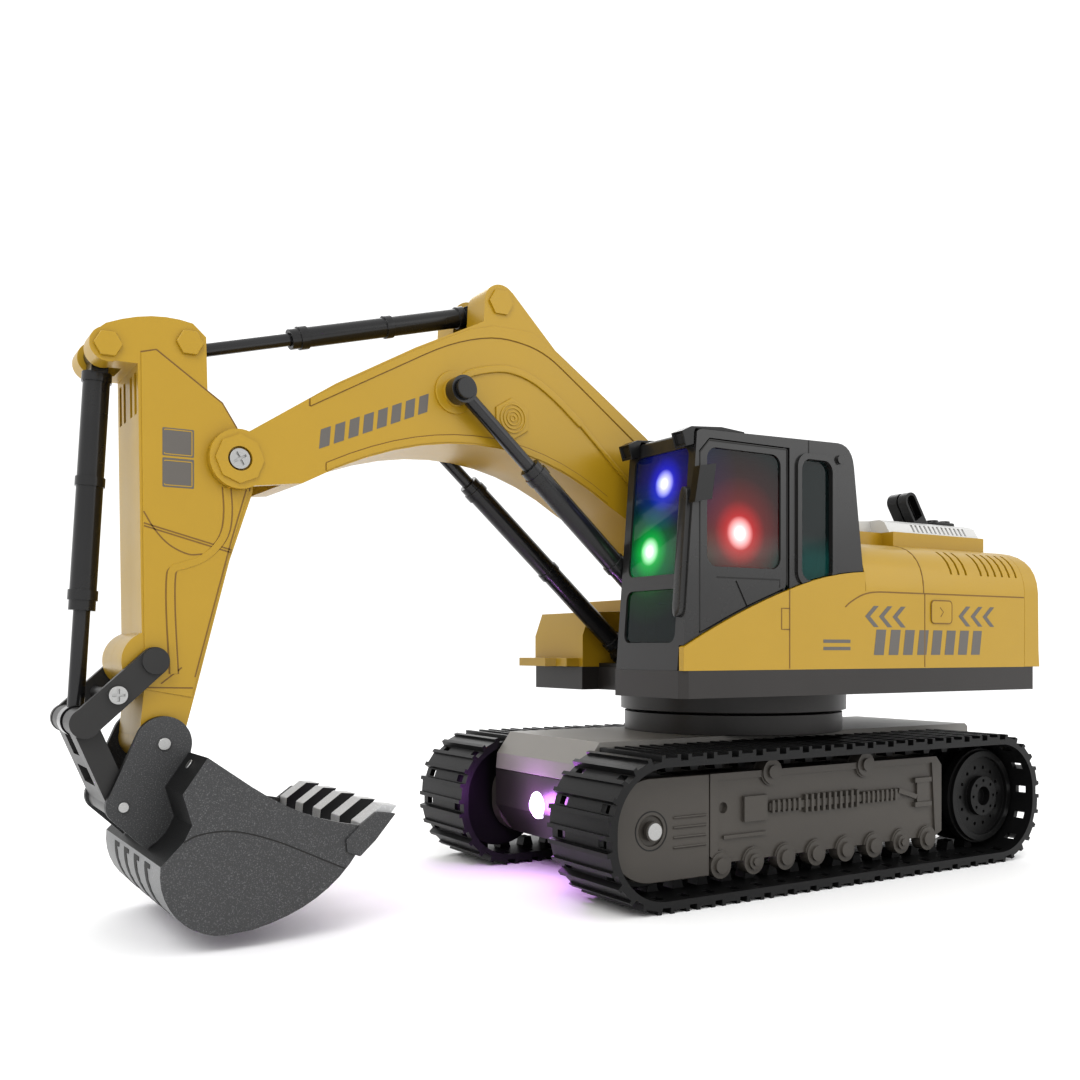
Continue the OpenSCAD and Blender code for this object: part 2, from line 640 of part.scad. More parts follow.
module front_pane(z0, z1, y0, y1) bar(60, 90) round_box(y0, z0, y1, z1, 3);

// Everything below the yellow panel's upper edge, a little clear of it.
module swoosh_cut(lift) polygon(concat([[cab_front + 1, floor_z - 1], [cab_front + 1, 81 + lift]],
    swoosh_curve(lift), [[cab_rear - 1, 108.6 + lift], [cab_rear - 1, floor_z - 1]]));

module cab_shell() placed() color([0.24, 0.24, 0.23]) {
    difference() {
        union() {
            slab(cab_in, cab_out) cab_outline();
            slab(cab_out - 0.1, cab_out + 0.9) round_box(7.6, 102.6, 26.6, 149.4, 5);
        }
        slab(cab_in + 2.4, cab_out - 2.4) cab_cavity();
        front_pane(105.5, 147.6, cab_in + 3.6, cab_out - 3.6);
        front_pane(82.5, 100.5, cab_in + 3.6, cab_out - 5);
        slab(cab_in - 1, cab_in + 3) round_box(8, 104, 66, 147, 4);
        slab(cab_out - 3, cab_out + 1) round_box(9.6, 104.6, 24.6, 147.4, 4);
        slab(cab_out - 3, cab_out + 1) door_outline(gap);
        slab(cab_out - 2.5, cab_out + 1) swoosh_cut(0.25);
        plate(cab_roof_z - 10, cab_roof_z + 5) round_box(20, cab_in + 8, 60, cab_out - 8, 4);
    }
    translate([door_axis[0], door_axis[1], 96]) cylinder(r = 0.62, h = 57);
    pin([5.4, 148.6], 1.6, cab_out - 1, cab_out + 1);
}

module cab_windows() placed() color([0.35, 0.5, 0.5, 0.45]) {
    intersection() {
        union() {
            front_pane(105.6, 147.5, cab_in + 3.7, cab_out - 3.7);
            front_pane(82.6, 100.4, cab_in + 3.7, cab_out - 5.1);
        }
        slab(cab_in, cab_out) polygon([[cab_front - 0.9, floor_z], [cab_front - 1.9, floor_z],
            [cab_top_front - 1.2, 151], [cab_top_front - 0.2, 151]]);
    }
    slab(cab_in + 0.8, cab_in + 1.8) round_box(8.1, 104.1, 65.9, 146.9, 3.9);
    slab(cab_out - 1.9, cab_out - 0.9) difference() {
        round_box(9.7, 104.7, 24.5, 147.3, 3.9);
        swoosh_cut(0.3);
    }
    plate(151.9, 152.7) round_box(20.1, cab_in + 8.1, 59.9, cab_out - 8.1, 3.9);
}

// Seat, armrests and console moulded on one floor plate.
module cab_interior() placed() color([0.16, 0.19, 0.19]) {
    block(0, 72, cab_in + 3, cab_out - 4.4, floor_z + 2.1, floor_z + 4);
    block(8, 30, cab_in + 9, cab_out - 10, floor_z + 4, 90);
    slab(cab_in + 9, cab_out - 10) polygon([[8, 88], [14, 88], [12, 122], [7, 124], [5, 122]]);
    both_sides_of_seat() block(8, 30, 0, 2.6, 84, 97);
    block(60, 68, cab_in + 10, cab_out - 12, floor_z + 4, 96);
}

module both_sides_of_seat() for (y = [cab_in + 6.4, cab_out - 10]) translate([0, y, 0]) children();

module cab_door() placed() color([0.22, 0.22, 0.21]) difference() {
    union() {
        difference() {
            slab(door_axis[1] - 1.2, door_axis[1] + 1.2) door_outline(0);
            block(door_rear - 1, door_axis[0], cab_out - 4, cab_out + 4, 90, 160);
        }
        translate([door_axis[0], door_axis[1], 103]) cylinder(r = 1.2, h = 47.2);
    }
    slab(cab_out - 4, cab_out + 2) round_box(34, 108, 67, 147.6, 4);
    translate([door_axis[0], door_axis[1], 90]) cylinder(r = 0.62 + fit, h = 70);
    translate([52, cab_out - 0.4, 99]) rotate([0, 30, 0]) block(-0.4, 0.4, 0, 2, -5, 5);
}

module door_window() placed() color([0.35, 0.5, 0.5, 0.45])
    slab(door_axis[1] - 0.5, door_axis[1] + 0.5) round_box(34.1, 108.1, 66.9, 147.5, 3.9);

module roof_lamps() placed() color([0.12, 0.12, 0.12]) for (y = [cab_in + 0.6, cab_out - 6.6]) difference() {
    slab(y, y + 6) polygon([[50, 153.7], [69, 153.25], [71.3, 153.3], [71.9, 152], [72, 148], [75.4, 147], [77, 152],
        [73, 153.9], [60, 154.9], [50, 154.2]]);
    slab(y + 0.8, y + 5.2) polygon([[74.9, 148], [78, 147.2], [78, 152], [76.1, 151.4]]);
}

// Mirror plate on the door's front edge, leaning with the cab.
module side_mirror() placed() color([0.12, 0.12, 0.12]) {
    slab(65.2, 68.4) polygon([[66.8, 141.4], [73.6, 140.2], [75.8, 128.2], [68.6, 129.6]]);
    block(67.3, 69, cab_out, 65.3, 134, 138);
}

// Three light diodes on stems from the roof, the console and the seat.
module cab_leds() placed() color([0.8, 0.85, 0.9]) {
    led([65, 37, 139], 139, 150.6);
    led([67.4, 31.8, 115.2], floor_z + 4, 115.2);
    led([29.4, 37, 123.2], 90, 123.2);
}

// A diode at p on a stem from z0 to z1.
module led(p, z0, z1) {
    translate(p) sphere(r = 1.8);
    block(p[0] - 0.6, p[0] + 0.6, p[1] - 0.6, p[1] + 0.6, z0, z1);
}

module circuit_board() placed() color([0.1, 0.4, 0.2]) {
    block(-96, -46, -30, 30, 80, 81.6);
    block(-84, -74, -8, 2, 81.5, 83.6);
    for (y = [-20, -12, 12, 20]) translate([-60, y, 81.5]) cylinder(r = 2.2, h = 7);
    for (x = [-94, -48], y = [-28, 28]) translate([x, y, house_z + 2.4]) cylinder(r = 1.6, h = 14);
}

module slew_motor() placed() color([0.75, 0.75, 0.73]) {
    difference() {
        block(pinion_x - 10, pinion_x + 8, -12, 12, 72.6, 84);
        translate([pinion_x, 0, 70]) cylinder(r = 1 + fit, h = 9);
    }
    translate([pinion_x - 1, 0, 83.9]) cylinder(r = 7, h = 10);
    for (s = [-1, 1]) translate([pinion_x, s * 9, house_z]) cylinder(r = 0.75, h = 9);
}

module slew_pinion() placed() color([0.9, 0.88, 0.8]) translate([pinion_x, 0, 0]) {
    plate(gear_z + 0.2, gear_z + 3.8) rotate(pinion_turn) gear_outline(pinion_teeth, 0.28);
    translate([0, 0, gear_z]) cylinder(r = 1, h = 11);
}

// Puts a pinion gap opposite the ring gear's tooth at angle 180.
pinion_turn = 180 / pinion_teeth;

module boom_motor() placed() color([0.86, 0.85, 0.8]) {
    block(-36, -16, -14, 14, 95, 116);
    translate([-36, 0, 104]) mirror([1, 0, 0]) rod_x(8, 0, 24);
    block(-16.1, -4.4, -5, 5, 100, 110);
}

// ---------- boom ----------

// Boom side outline: tip, arched back, gooseneck belly and foot.
module boom_outline() {
    polygon(concat([stick_pin + [2.6, -8.6], [192, 131.4]],
        curve([190, 131.6], [127, 166.5], [75, 132.7], 12),
        [boom_foot + [5.4, -9.6], boom_foot + [-6.6, 8.8]],
        [[57.3, 158.6], [78.1, 172.8], [97.4, 185.7], [114.9, 203.2]],
        [[125.6, 199], [126, 191.6], [132, 188.6], [151.3, 179.2]], [[179, 163.9], stick_pin + [-3, 8.5]]));
    disc_at(stick_pin, 9);
    disc_at(boom_foot, 11);
    disc_at(ear_pin, 6.1);
}

// One half shell of the boom, y from the centre plane outwards.
module boom_half() difference() {
    union() {
        slab(0, boom_y) boom_outline();
        slab(boom_y - 0.1, boom_y + 0.7) disc_at([115, 159.7], 5.4);
        slab(boom_y - 0.1, boom_y + 0.7) translate(stick_pin) circle(r = 7.4, $fn = 8);
        slab(boom_y - 0.1, boom_y + 0.8) translate(ear_pin) circle(r = 4.6, $fn = 6);
    }
    slab(-1, boom_y - 2.6) polygon(concat([[196, 134.4], [190, 134.6]],
        curve([188, 135], [127, 169.5], [75, 136], 12),
        [boom_foot + [14, -2], boom_foot + [12, 9], [60, 157.5], [79, 170.4], [98, 183], [112, 191]],
        [[127, 190.4], [131, 185.8], [150, 176.6], [178, 161.4], [196, 151]]));
    slab(-1, fork_y) polygon([[196, 110], [240, 110], [240, 170], [196, 170]]);
    slab(-1, 5.2) polygon([[108, 189.5], [140, 186.5], [140, 215], [100, 215]]);
    pin(stick_pin, 2.5 + fit, -1, 20);
    pin(stick_pin, 3.7, boom_y - 1.2, 20);
    pin(ear_pin, 1.5 + fit, -1, 12);
    pin(boom_foot, 3 + fit, -1, 20);
    pin(ram_head, 1.2, boom_y - 2, 20);
}

module boom_left() placed() color([0.80, 0.63, 0.24]) boom_half();

module boom_right() placed() color([0.80, 0.63, 0.24]) mirror([0, 1, 0]) boom_half();

// Stick pivot bolt with its two heads, the hidden ear pin and the cylinder rod pins.
module boom_screws() placed() color([0.72, 0.72, 0.71]) {
    pin(stick_pin, 2.5, -boom_y + 1.3, boom_y - 1.3);
    both_sides() translate([stick_pin[0], boom_y - 1.2, stick_pin[1]]) rotate([-90, 30, 0]) screw(3.1, 2, 1);
    pin(ear_pin, 1.5, -11.9, 11.9);
    both_sides() pin(ram_head, 1.2, boom_y - 2, ram_y + 2.9);
    both_sides() pin(ram_head, 3.4, ram_y + 2.8, ram_y + 4.2);
}

module stick_motor() placed() color([0.86, 0.85, 0.8]) {
    slab(-11, 11) polygon([[173, 146.5], [192, 139.5], [192, 149.5], [175, 158]]);
    aim([174.5, 152], [140, 168]) rod_x(6, 0, 24);
}

// ---------- cylinders ----------

// Barrel along +X from its eye at the origin: eye, tube with three rings and a bore for the rod.
module barrel(length, r, ring, bore, eye_y, eye_r, eye_bore) difference() {
    union() {
        rod_x(r, 5.6, length);
        rod_x(ring, 5.6, 8.4);
        rod_x(ring, length * 0.5 - 1.4, length * 0.5 + 1.4);
        rod_x(ring, length - 6, length - 3);
        pin([0, 0], eye_r, -eye_y, eye_y);
        block(0, 6, -eye_y, eye_y, -eye_r * 0.7, eye_r * 0.7);
    }
    rod_x(bore, 9, length + 1);
    pin([0, 0], eye_bore, -10, 10);
}

// Rod along +X that ends in an eye at the origin; the eye's hole leaves play round its pin.
module rod(length, r, eye_r, eye_bore, eye_y) difference() {
    union() {
        rod_x(r, eye_bore + 0.3, length);
        pin([0, 0], eye_r, -eye_y, eye_y);
    }
    pin([0, 0], eye_bore, -eye_y - 1, eye_y + 1);
}

boom_barrel_len = 96;
boom_ram_len = norm(ram_head - ram_foot);

module boom_barrel(side) placed() color([0.11, 0.11, 0.11]) aim(ram_foot, ram_head, side * ram_y)
    barrel(boom_barrel_len, barrel_r, ring_r, rod_r + fit, 3.6, 4.2, 2.4 + fit);

module boom_rod(side) placed() color([0.13, 0.13, 0.13]) aim(ram_head, ram_foot, side * ram_y)
    rod(boom_ram_len - 58, rod_r, 1.2 + boom_ram_gap + 1.3, 1.2 + boom_ram_gap, 2.4);

module boom_barrel_left() boom_barrel(1);

module boom_barrel_right() boom_barrel(-1);

module boom_rod_left() boom_rod(1);

module boom_rod_right() boom_rod(-1);

stick_ram_len = norm(head_pin - ear_pin);

module stick_barrel() placed() color([0.11, 0.11, 0.11]) aim(ear_pin, head_pin)
    barrel(71, slim_barrel_r, slim_barrel_r + 0.5, slim_rod_r + fit, 4.6, 4, 1.5 + fit);

module stick_rod() placed() color([0.13, 0.13, 0.13]) aim(head_pin, ear_pin)
    rod(stick_ram_len - 42, slim_rod_r, 1.2 + stick_ram_gap + 1.2, 1.2 + stick_ram_gap, 2);

bucket_ram_len = norm(link_pin - nose_pin);

module bucket_barrel() placed() color([0.11, 0.11, 0.11]) aim(nose_pin, link_pin)
    barrel(76, barrel_r, ring_r, rod_r + fit, 4.4, 3.4, 1.5 + fit);

module bucket_rod() placed() color([0.13, 0.13, 0.13]) aim(link_pin, nose_pin)
    rod(bucket_ram_len - 46, rod_r, 1.6 + bucket_ram_gap + 1.3, 1.6 + bucket_ram_gap, 3);

// ---------- stick ----------

module stick_outline() {
    polygon(concat([bucket_pin + [6.3, 2], [236.6, 68], [237.2, 88], [238.2, 163]],
        [nose_pin + [1.5, -4.6], nose_pin + [3.6, 3.2]],
        curve([247, 173.4], [234, 179.4], [222.5, 176.9], 6), [[218.6, 173.4], [218.2, 157.6]],
        [[209.5, 147.3], [203.8, 136], [204.6, 128], [211.6, 107.1], [222.6, 64.3], bucket_pin + [-6.4, 2]]));
    disc_at(nose_pin, 5);
    disc_at(rocker_pin, 8.8);
    disc_at(bucket_pin, 6.5);
}

module stick_half() difference() {
    union() {
        slab(0, stick_y) stick_outline();
    }
    slab(-1, stick_y - 2.4) polygon([[233, 92], [233.6, 146], [225, 149], [219, 144], [216, 141], [216, 132],
        [214, 126], [217.4, 107], [222, 92]]);
    slab(-1, 5.4) polygon([[241, 146], [256, 146], [256, 180], [241, 180]]);
    slab(-1, 5.2) polygon([[232.4, 161], [232.4, 184], [200, 184], [200, 158], [219, 158]]);
    pin(stick_pin, 2.5 + fit, -1, 20);
    pin(nose_pin, 1.5, -1, stick_y - 0.5);
    pin(head_pin, 1.2, -1, stick_y - 0.5);
    pin(rocker_pin, 2 + fit, -1, 20);
    pin(bucket_pin, 1.4 + fit, -1, 20);
    for (s = [0, 1]) block(236, 240, 3 + s * 6, 6 + s * 6, 149, 161);
}

module stick_left() placed() color([0.80, 0.63, 0.24]) stick_half();

module stick_right() placed() color([0.80, 0.63, 0.24]) mirror([0, 1, 0]) stick_half();

// Pins of the stick head and the hexagon heads that cover them.
module stick_screws() placed() color([0.80, 0.63, 0.24]) {
    pin(nose_pin, 1.5, -stick_y + 0.6, stick_y - 0.6);
    pin(head_pin, 1.2, -stick_y + 0.6, stick_y - 0.6);
    for (p = [nose_pin, head_pin]) both_sides()
        translate([p[0], stick_y, p[1]]) rotate([-90, 0, 0]) cylinder(r = 4, h = 1.2, $fn = 6);
}

// ---------- bucket linkage ----------

// Two arms with their pins, the spacer screw and the shared link pin.
module rocker_arms() placed() color([0.27, 0.27, 0.27]) {
    both_sides() {
        slab(fork_y, fork_y + 2.6) {
            strut(rocker_pin, link_pin, 4.1);
            disc_at(rocker_pin, 4.1);
            disc_at(link_pin, 4.3);
        }
        pin(rocker_pin, 3.8, fork_y + 2.5, fork_y + 3.7);
    }
    pin(rocker_pin, 2, -fork_y - 0.1, fork_y + 0.1);
    pin(link_pin, 1.6, -fork_y - 0.1, fork_y + 0.1);
    pin(spacer, 1.7, -fork_y - 0.1, fork_y + 0.1);
    both_sides() translate([spacer[0], fork_y + 2.5, spacer[1]]) rotate([-90, 0, 0]) screw(2.6, 1, 1);
}

spacer = rocker_pin + 0.55 * (link_pin - rocker_pin);

// H-shaped link: two knuckles on the link pin, a slotted web and an oversize eye at the bucket.
module bucket_link() placed() color([0.27, 0.27, 0.27]) difference() {
    union() {
        both_sides() slab(5, fork_y - 0.5) {
            disc_at(link_pin, 4.1);
            strut(link_pin, ear_link_pin, 3.4);
        }
        slab(-fork_y + 0.5, fork_y - 0.5) {
            strut(link_pin + 0.36 * (ear_link_pin - link_pin), ear_link_pin, 3.4);
            disc_at(ear_link_pin, 4);
        }
    }
    pin(link_pin, 1.6 + fit, -20, 20);
    pin(ear_link_pin, 2.6, -20, 20);
    slab(-8, 8) strut(link_pin + 0.5 * (ear_link_pin - link_pin), link_pin + 0.72 * (ear_link_pin - link_pin), 5);
}

// ---------- bucket ----------

back_c = [219, 18.4];
back_r = 18.4;

// Inner side of the bucket plates, from the top corner down the stepped back and round to the lip.
function bucket_profile(t) = concat(
    [[224.4 - t, 50.1 - 1.4 * t], [231.3 - 1.3 * t, 40.3 - 0.3 * t], [228.7 - 1.2 * t, 31.6 - 0.2 * t],
        [231 - 1.2 * t, 27.2], [235.9 - 1.1 * t, 22.2 - 0.3 * t]],
    arc(back_c, back_r - t, 8, -88, 10),
    curve([212 + 0.1 * t, 0.6 + t], [190, 4.6 + t], [179.8 + 0.9 * t, 20.1 + 0.4 * t], 8));

module bucket_side_outline() polygon(concat(bucket_profile(0),
    curve([179.2, 27.6], [197, 30.5], [212, 41.2], 6), [[224.4, 50.1]]));

module bucket_shell() placed() color([0.33, 0.33, 0.34]) {
    difference() {
        union() {
            both_sides() slab(bucket_y - 2.4, bucket_y) bucket_side_outline();
            slab(-bucket_y + 2, bucket_y - 2) difference() {
                polygon(concat(bucket_profile(0), [for (i = [23:-1:0]) bucket_profile(2.2)[i]]));
                square(0.01);
            }
            both_sides() slab(fork_y, fork_y + 2.4) {
                disc_at(bucket_pin, 8);
                disc_at(ear_link_pin, 4.8);
                polygon([bucket_pin + [7.4, 3], ear_link_pin + [4.7, 1.4], ear_link_pin + [3.4, -3.4],
                    [236.5, 22.6], [230, 27], [227.6, 31.6], [230, 40.3], [223.9, 49.6], bucket_pin + [-8, 1]]);
            }
        }
        for (i = [-1.5:1:1.5]) slab(i * 14 - 1.1, i * 14 + 1.1) difference() {
            polygon(concat(arc(back_c, back_r + 1, 4, -64, 10), arc(back_c, back_r - 1.1, -64, 4, 10)));
            square(0.01);
        }
        pin(bucket_pin, 1.4, -20, 20);
        pin(ear_link_pin, 1.1, -20, 20);
        both_sides() on_top_facet() rod_x(0.7, -1.2, 1);
    }
}

// Places children, drawn along +X, square to the bucket's top facet, beside the ear.
module on_top_facet() aim([226.4, 47.26], [234.577, 53.017], 26.2) children();

// Lip bar with five pointed teeth and side cutters.
module bucket_teeth() placed() color([0.36, 0.36, 0.37]) {
    for (i = [-2:2]) slab(i * 16.6 - 3.7, i * 16.6 + 3.7) tooth_outline();
}

module tooth_outline() polygon([[178.8, 28.2], [171.6, 33.2], [166.6, 32.6], [173.6, 25], [178.6, 19.4], [179.6, 20.4]]);

module bucket_rivets() placed() color([0.85, 0.85, 0.84]) {
    pin(bucket_pin, 1.4, -fork_y - 3, fork_y + 3);
    pin(ear_link_pin, 1.1, -fork_y - 3, fork_y + 3);
    both_sides() pin(bucket_pin, 1.8, fork_y + 2.4, fork_y + 3.2);
    both_sides() pin(ear_link_pin, 1.5, fork_y + 2.4, fork_y + 3.1);
    both_sides() on_top_facet() {
        rod_x(0.7, -1.1, 0.1);
        rod_x(1.4, 0.01, 0.6);
    }
}

chassis_deck();
chassis_tray();
track_frame_left();
track_frame_right();
idler_guards();
track_belt_left();
track_belt_right();
drive_gearboxes();
slew_ring();
front_light();
battery_pack();
battery_door();
chassis_screws();
sprocket_left();
sprocket_right();
idler_left();
idler_right();
power_switch();
house_base();
boom_bracket();
side_panel_left();
side_panel_right();
counterweight();
engine_hood();
top_grille();
exhaust_stack();
filler_cover();
tool_box();
cab_shell();
cab_windows();
cab_interior();
roof_lamps();
side_mirror();
cab_leds();
circuit_board();
slew_motor();
boom_motor();
slew_pinion();
cab_door();
door_window();
boom_left();
boom_right();
boom_screws();
stick_motor();
boom_barrel_left();
boom_barrel_right();
boom_rod_left();
boom_rod_right();
stick_left();
stick_right();
stick_screws();
stick_barrel();
stick_rod();
bucket_barrel();
bucket_rod();
rocker_arms();
bucket_link();
bucket_shell();
bucket_teeth();
bucket_rivets();
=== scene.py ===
"""Looks for the toy tracked excavator: refined shells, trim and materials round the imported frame.

Lengths are in metres in the frame. Where a shape is drawn here, its points are in millimetres in the
part's own machine coordinates, x forward, y to the left and z up from a point on the slew axis.
"""
import json
import math

import bmesh
import bpy
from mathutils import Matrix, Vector


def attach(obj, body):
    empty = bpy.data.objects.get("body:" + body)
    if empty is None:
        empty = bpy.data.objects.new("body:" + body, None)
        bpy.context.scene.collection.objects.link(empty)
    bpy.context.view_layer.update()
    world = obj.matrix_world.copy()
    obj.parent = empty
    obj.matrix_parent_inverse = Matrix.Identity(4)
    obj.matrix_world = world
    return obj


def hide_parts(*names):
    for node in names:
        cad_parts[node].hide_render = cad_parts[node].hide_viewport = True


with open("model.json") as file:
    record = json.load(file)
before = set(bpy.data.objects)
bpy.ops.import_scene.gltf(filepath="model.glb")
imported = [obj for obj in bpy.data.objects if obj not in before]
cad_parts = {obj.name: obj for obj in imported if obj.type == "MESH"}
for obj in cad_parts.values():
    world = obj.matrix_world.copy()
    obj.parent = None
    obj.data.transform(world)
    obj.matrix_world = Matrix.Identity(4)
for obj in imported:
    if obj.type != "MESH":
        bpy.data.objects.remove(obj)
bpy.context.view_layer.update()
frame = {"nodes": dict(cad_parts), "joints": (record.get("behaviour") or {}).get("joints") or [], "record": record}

MM = 0.001
JOINTS = {joint["name"]: joint for joint in frame["joints"]}
SLEW = Vector(JOINTS["slew"]["pos_m"])
BODY_OF = {node: body for body, nodes in frame["record"]["behaviour"]["bodies"].items() for node in nodes}
SLOT_OF = {part["node"]: part["material_slot"] for part in frame["record"]["subparts"]}


def place(x, y, z):
    """A point of the part's own machine coordinates, in millimetres, in the row frame."""
    return Vector((SLEW.x + x * MM, y * MM, SLEW.z + z * MM))


def machine(point):
    """A point of the row frame in the part's machine coordinates, in millimetres."""
    return (Vector(point) - SLEW) / MM


# ---------- materials ----------


def new_material(name):
    material = bpy.data.materials.new(name)
    material.use_nodes = True
    nodes = material.node_tree.nodes
    return material, nodes, material.node_tree.links, nodes["Principled BSDF"]


def add_node(nodes, kind, **inputs):
    """A shader node with its inputs set by name; spaces in input names are written as underscores."""
    node = nodes.new(kind)
    for key, value in inputs.items():
        node.inputs[key.replace("_", " ")].default_value = value
    return node


def noise_node(nodes, links, scale, detail=4.0, roughness=0.55, stretch=None):
    """Noise in object space, in cycles per metre; stretch scales the axes one by one."""
    coords = nodes.new("ShaderNodeTexCoord")
    noise = add_node(nodes, "ShaderNodeTexNoise", Scale=scale, Detail=detail, Roughness=roughness)
    if stretch:
        mapping = add_node(nodes, "ShaderNodeMapping", Scale=stretch)
        links.new(coords.outputs["Object"], mapping.inputs["Vector"])
        links.new(mapping.outputs["Vector"], noise.inputs["Vector"])
    else:
        links.new(coords.outputs["Object"], noise.inputs["Vector"])
    return noise


def ramp_node(nodes, links, source, stops):
    """Colour ramp fed by a factor; stops are (position, colour)."""
    ramp = nodes.new("ShaderNodeValToRGB")
    elements = ramp.color_ramp.elements
    while len(elements) < len(stops):
        elements.new(0.5)
    for element, (position, colour) in zip(elements, stops):
        element.position = position
        element.color = (*colour, 1.0)
    links.new(source, ramp.inputs["Fac"])
    return ramp


def range_node(nodes, links, source, low, high):
    node = nodes.new("ShaderNodeMapRange")
    node.inputs["To Min"].default_value = low
    node.inputs["To Max"].default_value = high
    links.new(source, node.inputs["Value"])
    return node


def shade(colour, factor):
    return tuple(min(1.0, c * factor) for c in colour)


def moulded(name, colour, rough=0.38, spread=0.06, grain=2600.0, bump=0.05, coat=0.0, mottle=34.0,
            speckle=None, specular=0.5):
    """Moulded plastic: slight cloudy colour, uneven gloss and a fine spark-eroded grain."""
    material, nodes, links, shader = new_material(name)
    cloud = noise_node(nodes, links, mottle, 5.0)
    ramp = ramp_node(nodes, links, cloud.outputs["Fac"],
                     [(0.25, shade(colour, 1 - spread)), (0.55, colour), (0.8, shade(colour, 1 + spread))])
    grain_noise = noise_node(nodes, links, grain, 3.0)
    if speckle:
        flecks = ramp_node(nodes, links, noise_node(nodes, links, grain * 0.55, 1.5).outputs["Fac"],
                           [(0.55, (0, 0, 0)), (0.72, (1, 1, 1))])
        mix = nodes.new("ShaderNodeMix")
        mix.data_type = "RGBA"
        links.new(flecks.outputs["Color"], mix.inputs["Factor"])
        links.new(ramp.outputs["Color"], mix.inputs["A"])
        mix.inputs["B"].default_value = (*speckle, 1.0)
        links.new(mix.outputs["Result"], shader.inputs["Base Color"])
    else:
        links.new(ramp.outputs["Color"], shader.inputs["Base Color"])
    gloss = range_node(nodes, links, cloud.outputs["Fac"], rough - 0.07, rough + 0.09)
    links.new(gloss.outputs["Result"], shader.inputs["Roughness"])
    height = add_node(nodes, "ShaderNodeBump", Strength=bump, Distance=0.0002)
    links.new(grain_noise.outputs["Fac"], height.inputs["Height"])
    links.new(height.outputs["Normal"], shader.inputs["Normal"])
    shader.inputs["Specular IOR Level"].default_value = specular
    shader.inputs["Coat Weight"].default_value = coat
    shader.inputs["Coat Roughness"].default_value = 0.12
    return material


def brushed_metal(name, colour, rough):
    """Bare metal with fine streaks that run round the part."""
    material, nodes, links, shader = new_material(name)
    streaks = noise_node(nodes, links, 1800.0, 4.0, stretch=(1.0, 1.0, 12.0))
    ramp = ramp_node(nodes, links, streaks.outputs["Fac"],
                     [(0.3, shade(colour, 0.8)), (0.7, shade(colour, 1.1))])
    links.new(ramp.outputs["Color"], shader.inputs["Base Color"])
    gloss = range_node(nodes, links, streaks.outputs["Fac"], rough - 0.08, rough + 0.12)
    links.new(gloss.outputs["Result"], shader.inputs["Roughness"])
    shader.inputs["Metallic"].default_value = 1.0
    height = add_node(nodes, "ShaderNodeBump", Strength=0.04, Distance=0.0001)
    links.new(streaks.outputs["Fac"], height.inputs["Height"])
    links.new(height.outputs["Normal"], shader.inputs["Normal"])
    return material


SEAT_LOW, SEAT_HIGH = 101.0, 121.0


def painted_glow_ramp(nodes, links, centre, reach, colour):
    """Painted glow of a diode on the pane in front of it: white in the middle, then its colour, then nothing."""
    coords = nodes.new("ShaderNodeTexCoord")
    distance = nodes.new("ShaderNodeVectorMath")
    distance.operation = "DISTANCE"
    links.new(coords.outputs["Object"], distance.inputs[0])
    distance.inputs[1].default_value = place(*centre)
    scaled = nodes.new("ShaderNodeMapRange")
    scaled.inputs["From Max"].default_value = reach * MM
    links.new(distance.outputs["Value"], scaled.inputs["Value"])
    middle = tuple(0.45 + 0.55 * c for c in colour)
    return ramp_node(nodes, links, scaled.outputs["Result"],
                     [(0.0, (1.0, 1.0, 1.0)), (0.04, (1.0, 1.0, 1.0)), (0.10, middle),
                      (0.20, shade(colour, 0.35)), (0.38, shade(colour, 0.09)), (0.65, shade(colour, 0.02)),
                      (1.0, (0.0, 0.0, 0.0))])


def clear_plastic(name, colour, seat_colour, alpha, painted_glows):
    """Thin tinted window with a painted glow of the diodes behind it, and the seat's colour showing between two
    heights.
    """
    material, nodes, links, shader = new_material(name)
    streaks = noise_node(nodes, links, 60.0, 3.0, stretch=(1.0, 1.0, 0.3))
    coords = nodes.new("ShaderNodeTexCoord")
    axes = nodes.new("ShaderNodeSeparateXYZ")
    links.new(coords.outputs["Object"], axes.inputs["Vector"])
    height = nodes.new("ShaderNodeMapRange")
    height.inputs["From Min"].default_value = place(0, 0, SEAT_LOW).z
    height.inputs["From Max"].default_value = place(0, 0, SEAT_HIGH).z
    links.new(axes.outputs["Z"], height.inputs["Value"])
    ramp = ramp_node(nodes, links, height.outputs["Result"],
                     [(0.0, colour), (0.08, seat_colour), (0.6, seat_colour), (1.0, colour)])
    links.new(ramp.outputs["Color"], shader.inputs["Base Color"])
    gloss = range_node(nodes, links, streaks.outputs["Fac"], 0.03, 0.09)
    links.new(gloss.outputs["Result"], shader.inputs["Roughness"])
    shader.inputs["Alpha"].default_value = alpha
    shader.inputs["Specular IOR Level"].default_value = 0.25
    # painted glow: each diode's light is painted on the pane as emission, added up over the three
    light = painted_glow_ramp(nodes, links, *painted_glows[0]).outputs["Color"]
    for glow in painted_glows[1:]:
        total = nodes.new("ShaderNodeMix")
        total.data_type = "RGBA"
        total.blend_type = "ADD"
        total.inputs["Factor"].default_value = 1.0
        links.new(light, total.inputs["A"])
        links.new(painted_glow_ramp(nodes, links, *glow).outputs["Color"], total.inputs["B"])
        light = total.outputs["Result"]
    links.new(light, shader.inputs["Emission Color"])
    shader.inputs["Emission Strength"].default_value = 1.4
    material.surface_render_method = "BLENDED"
    return material


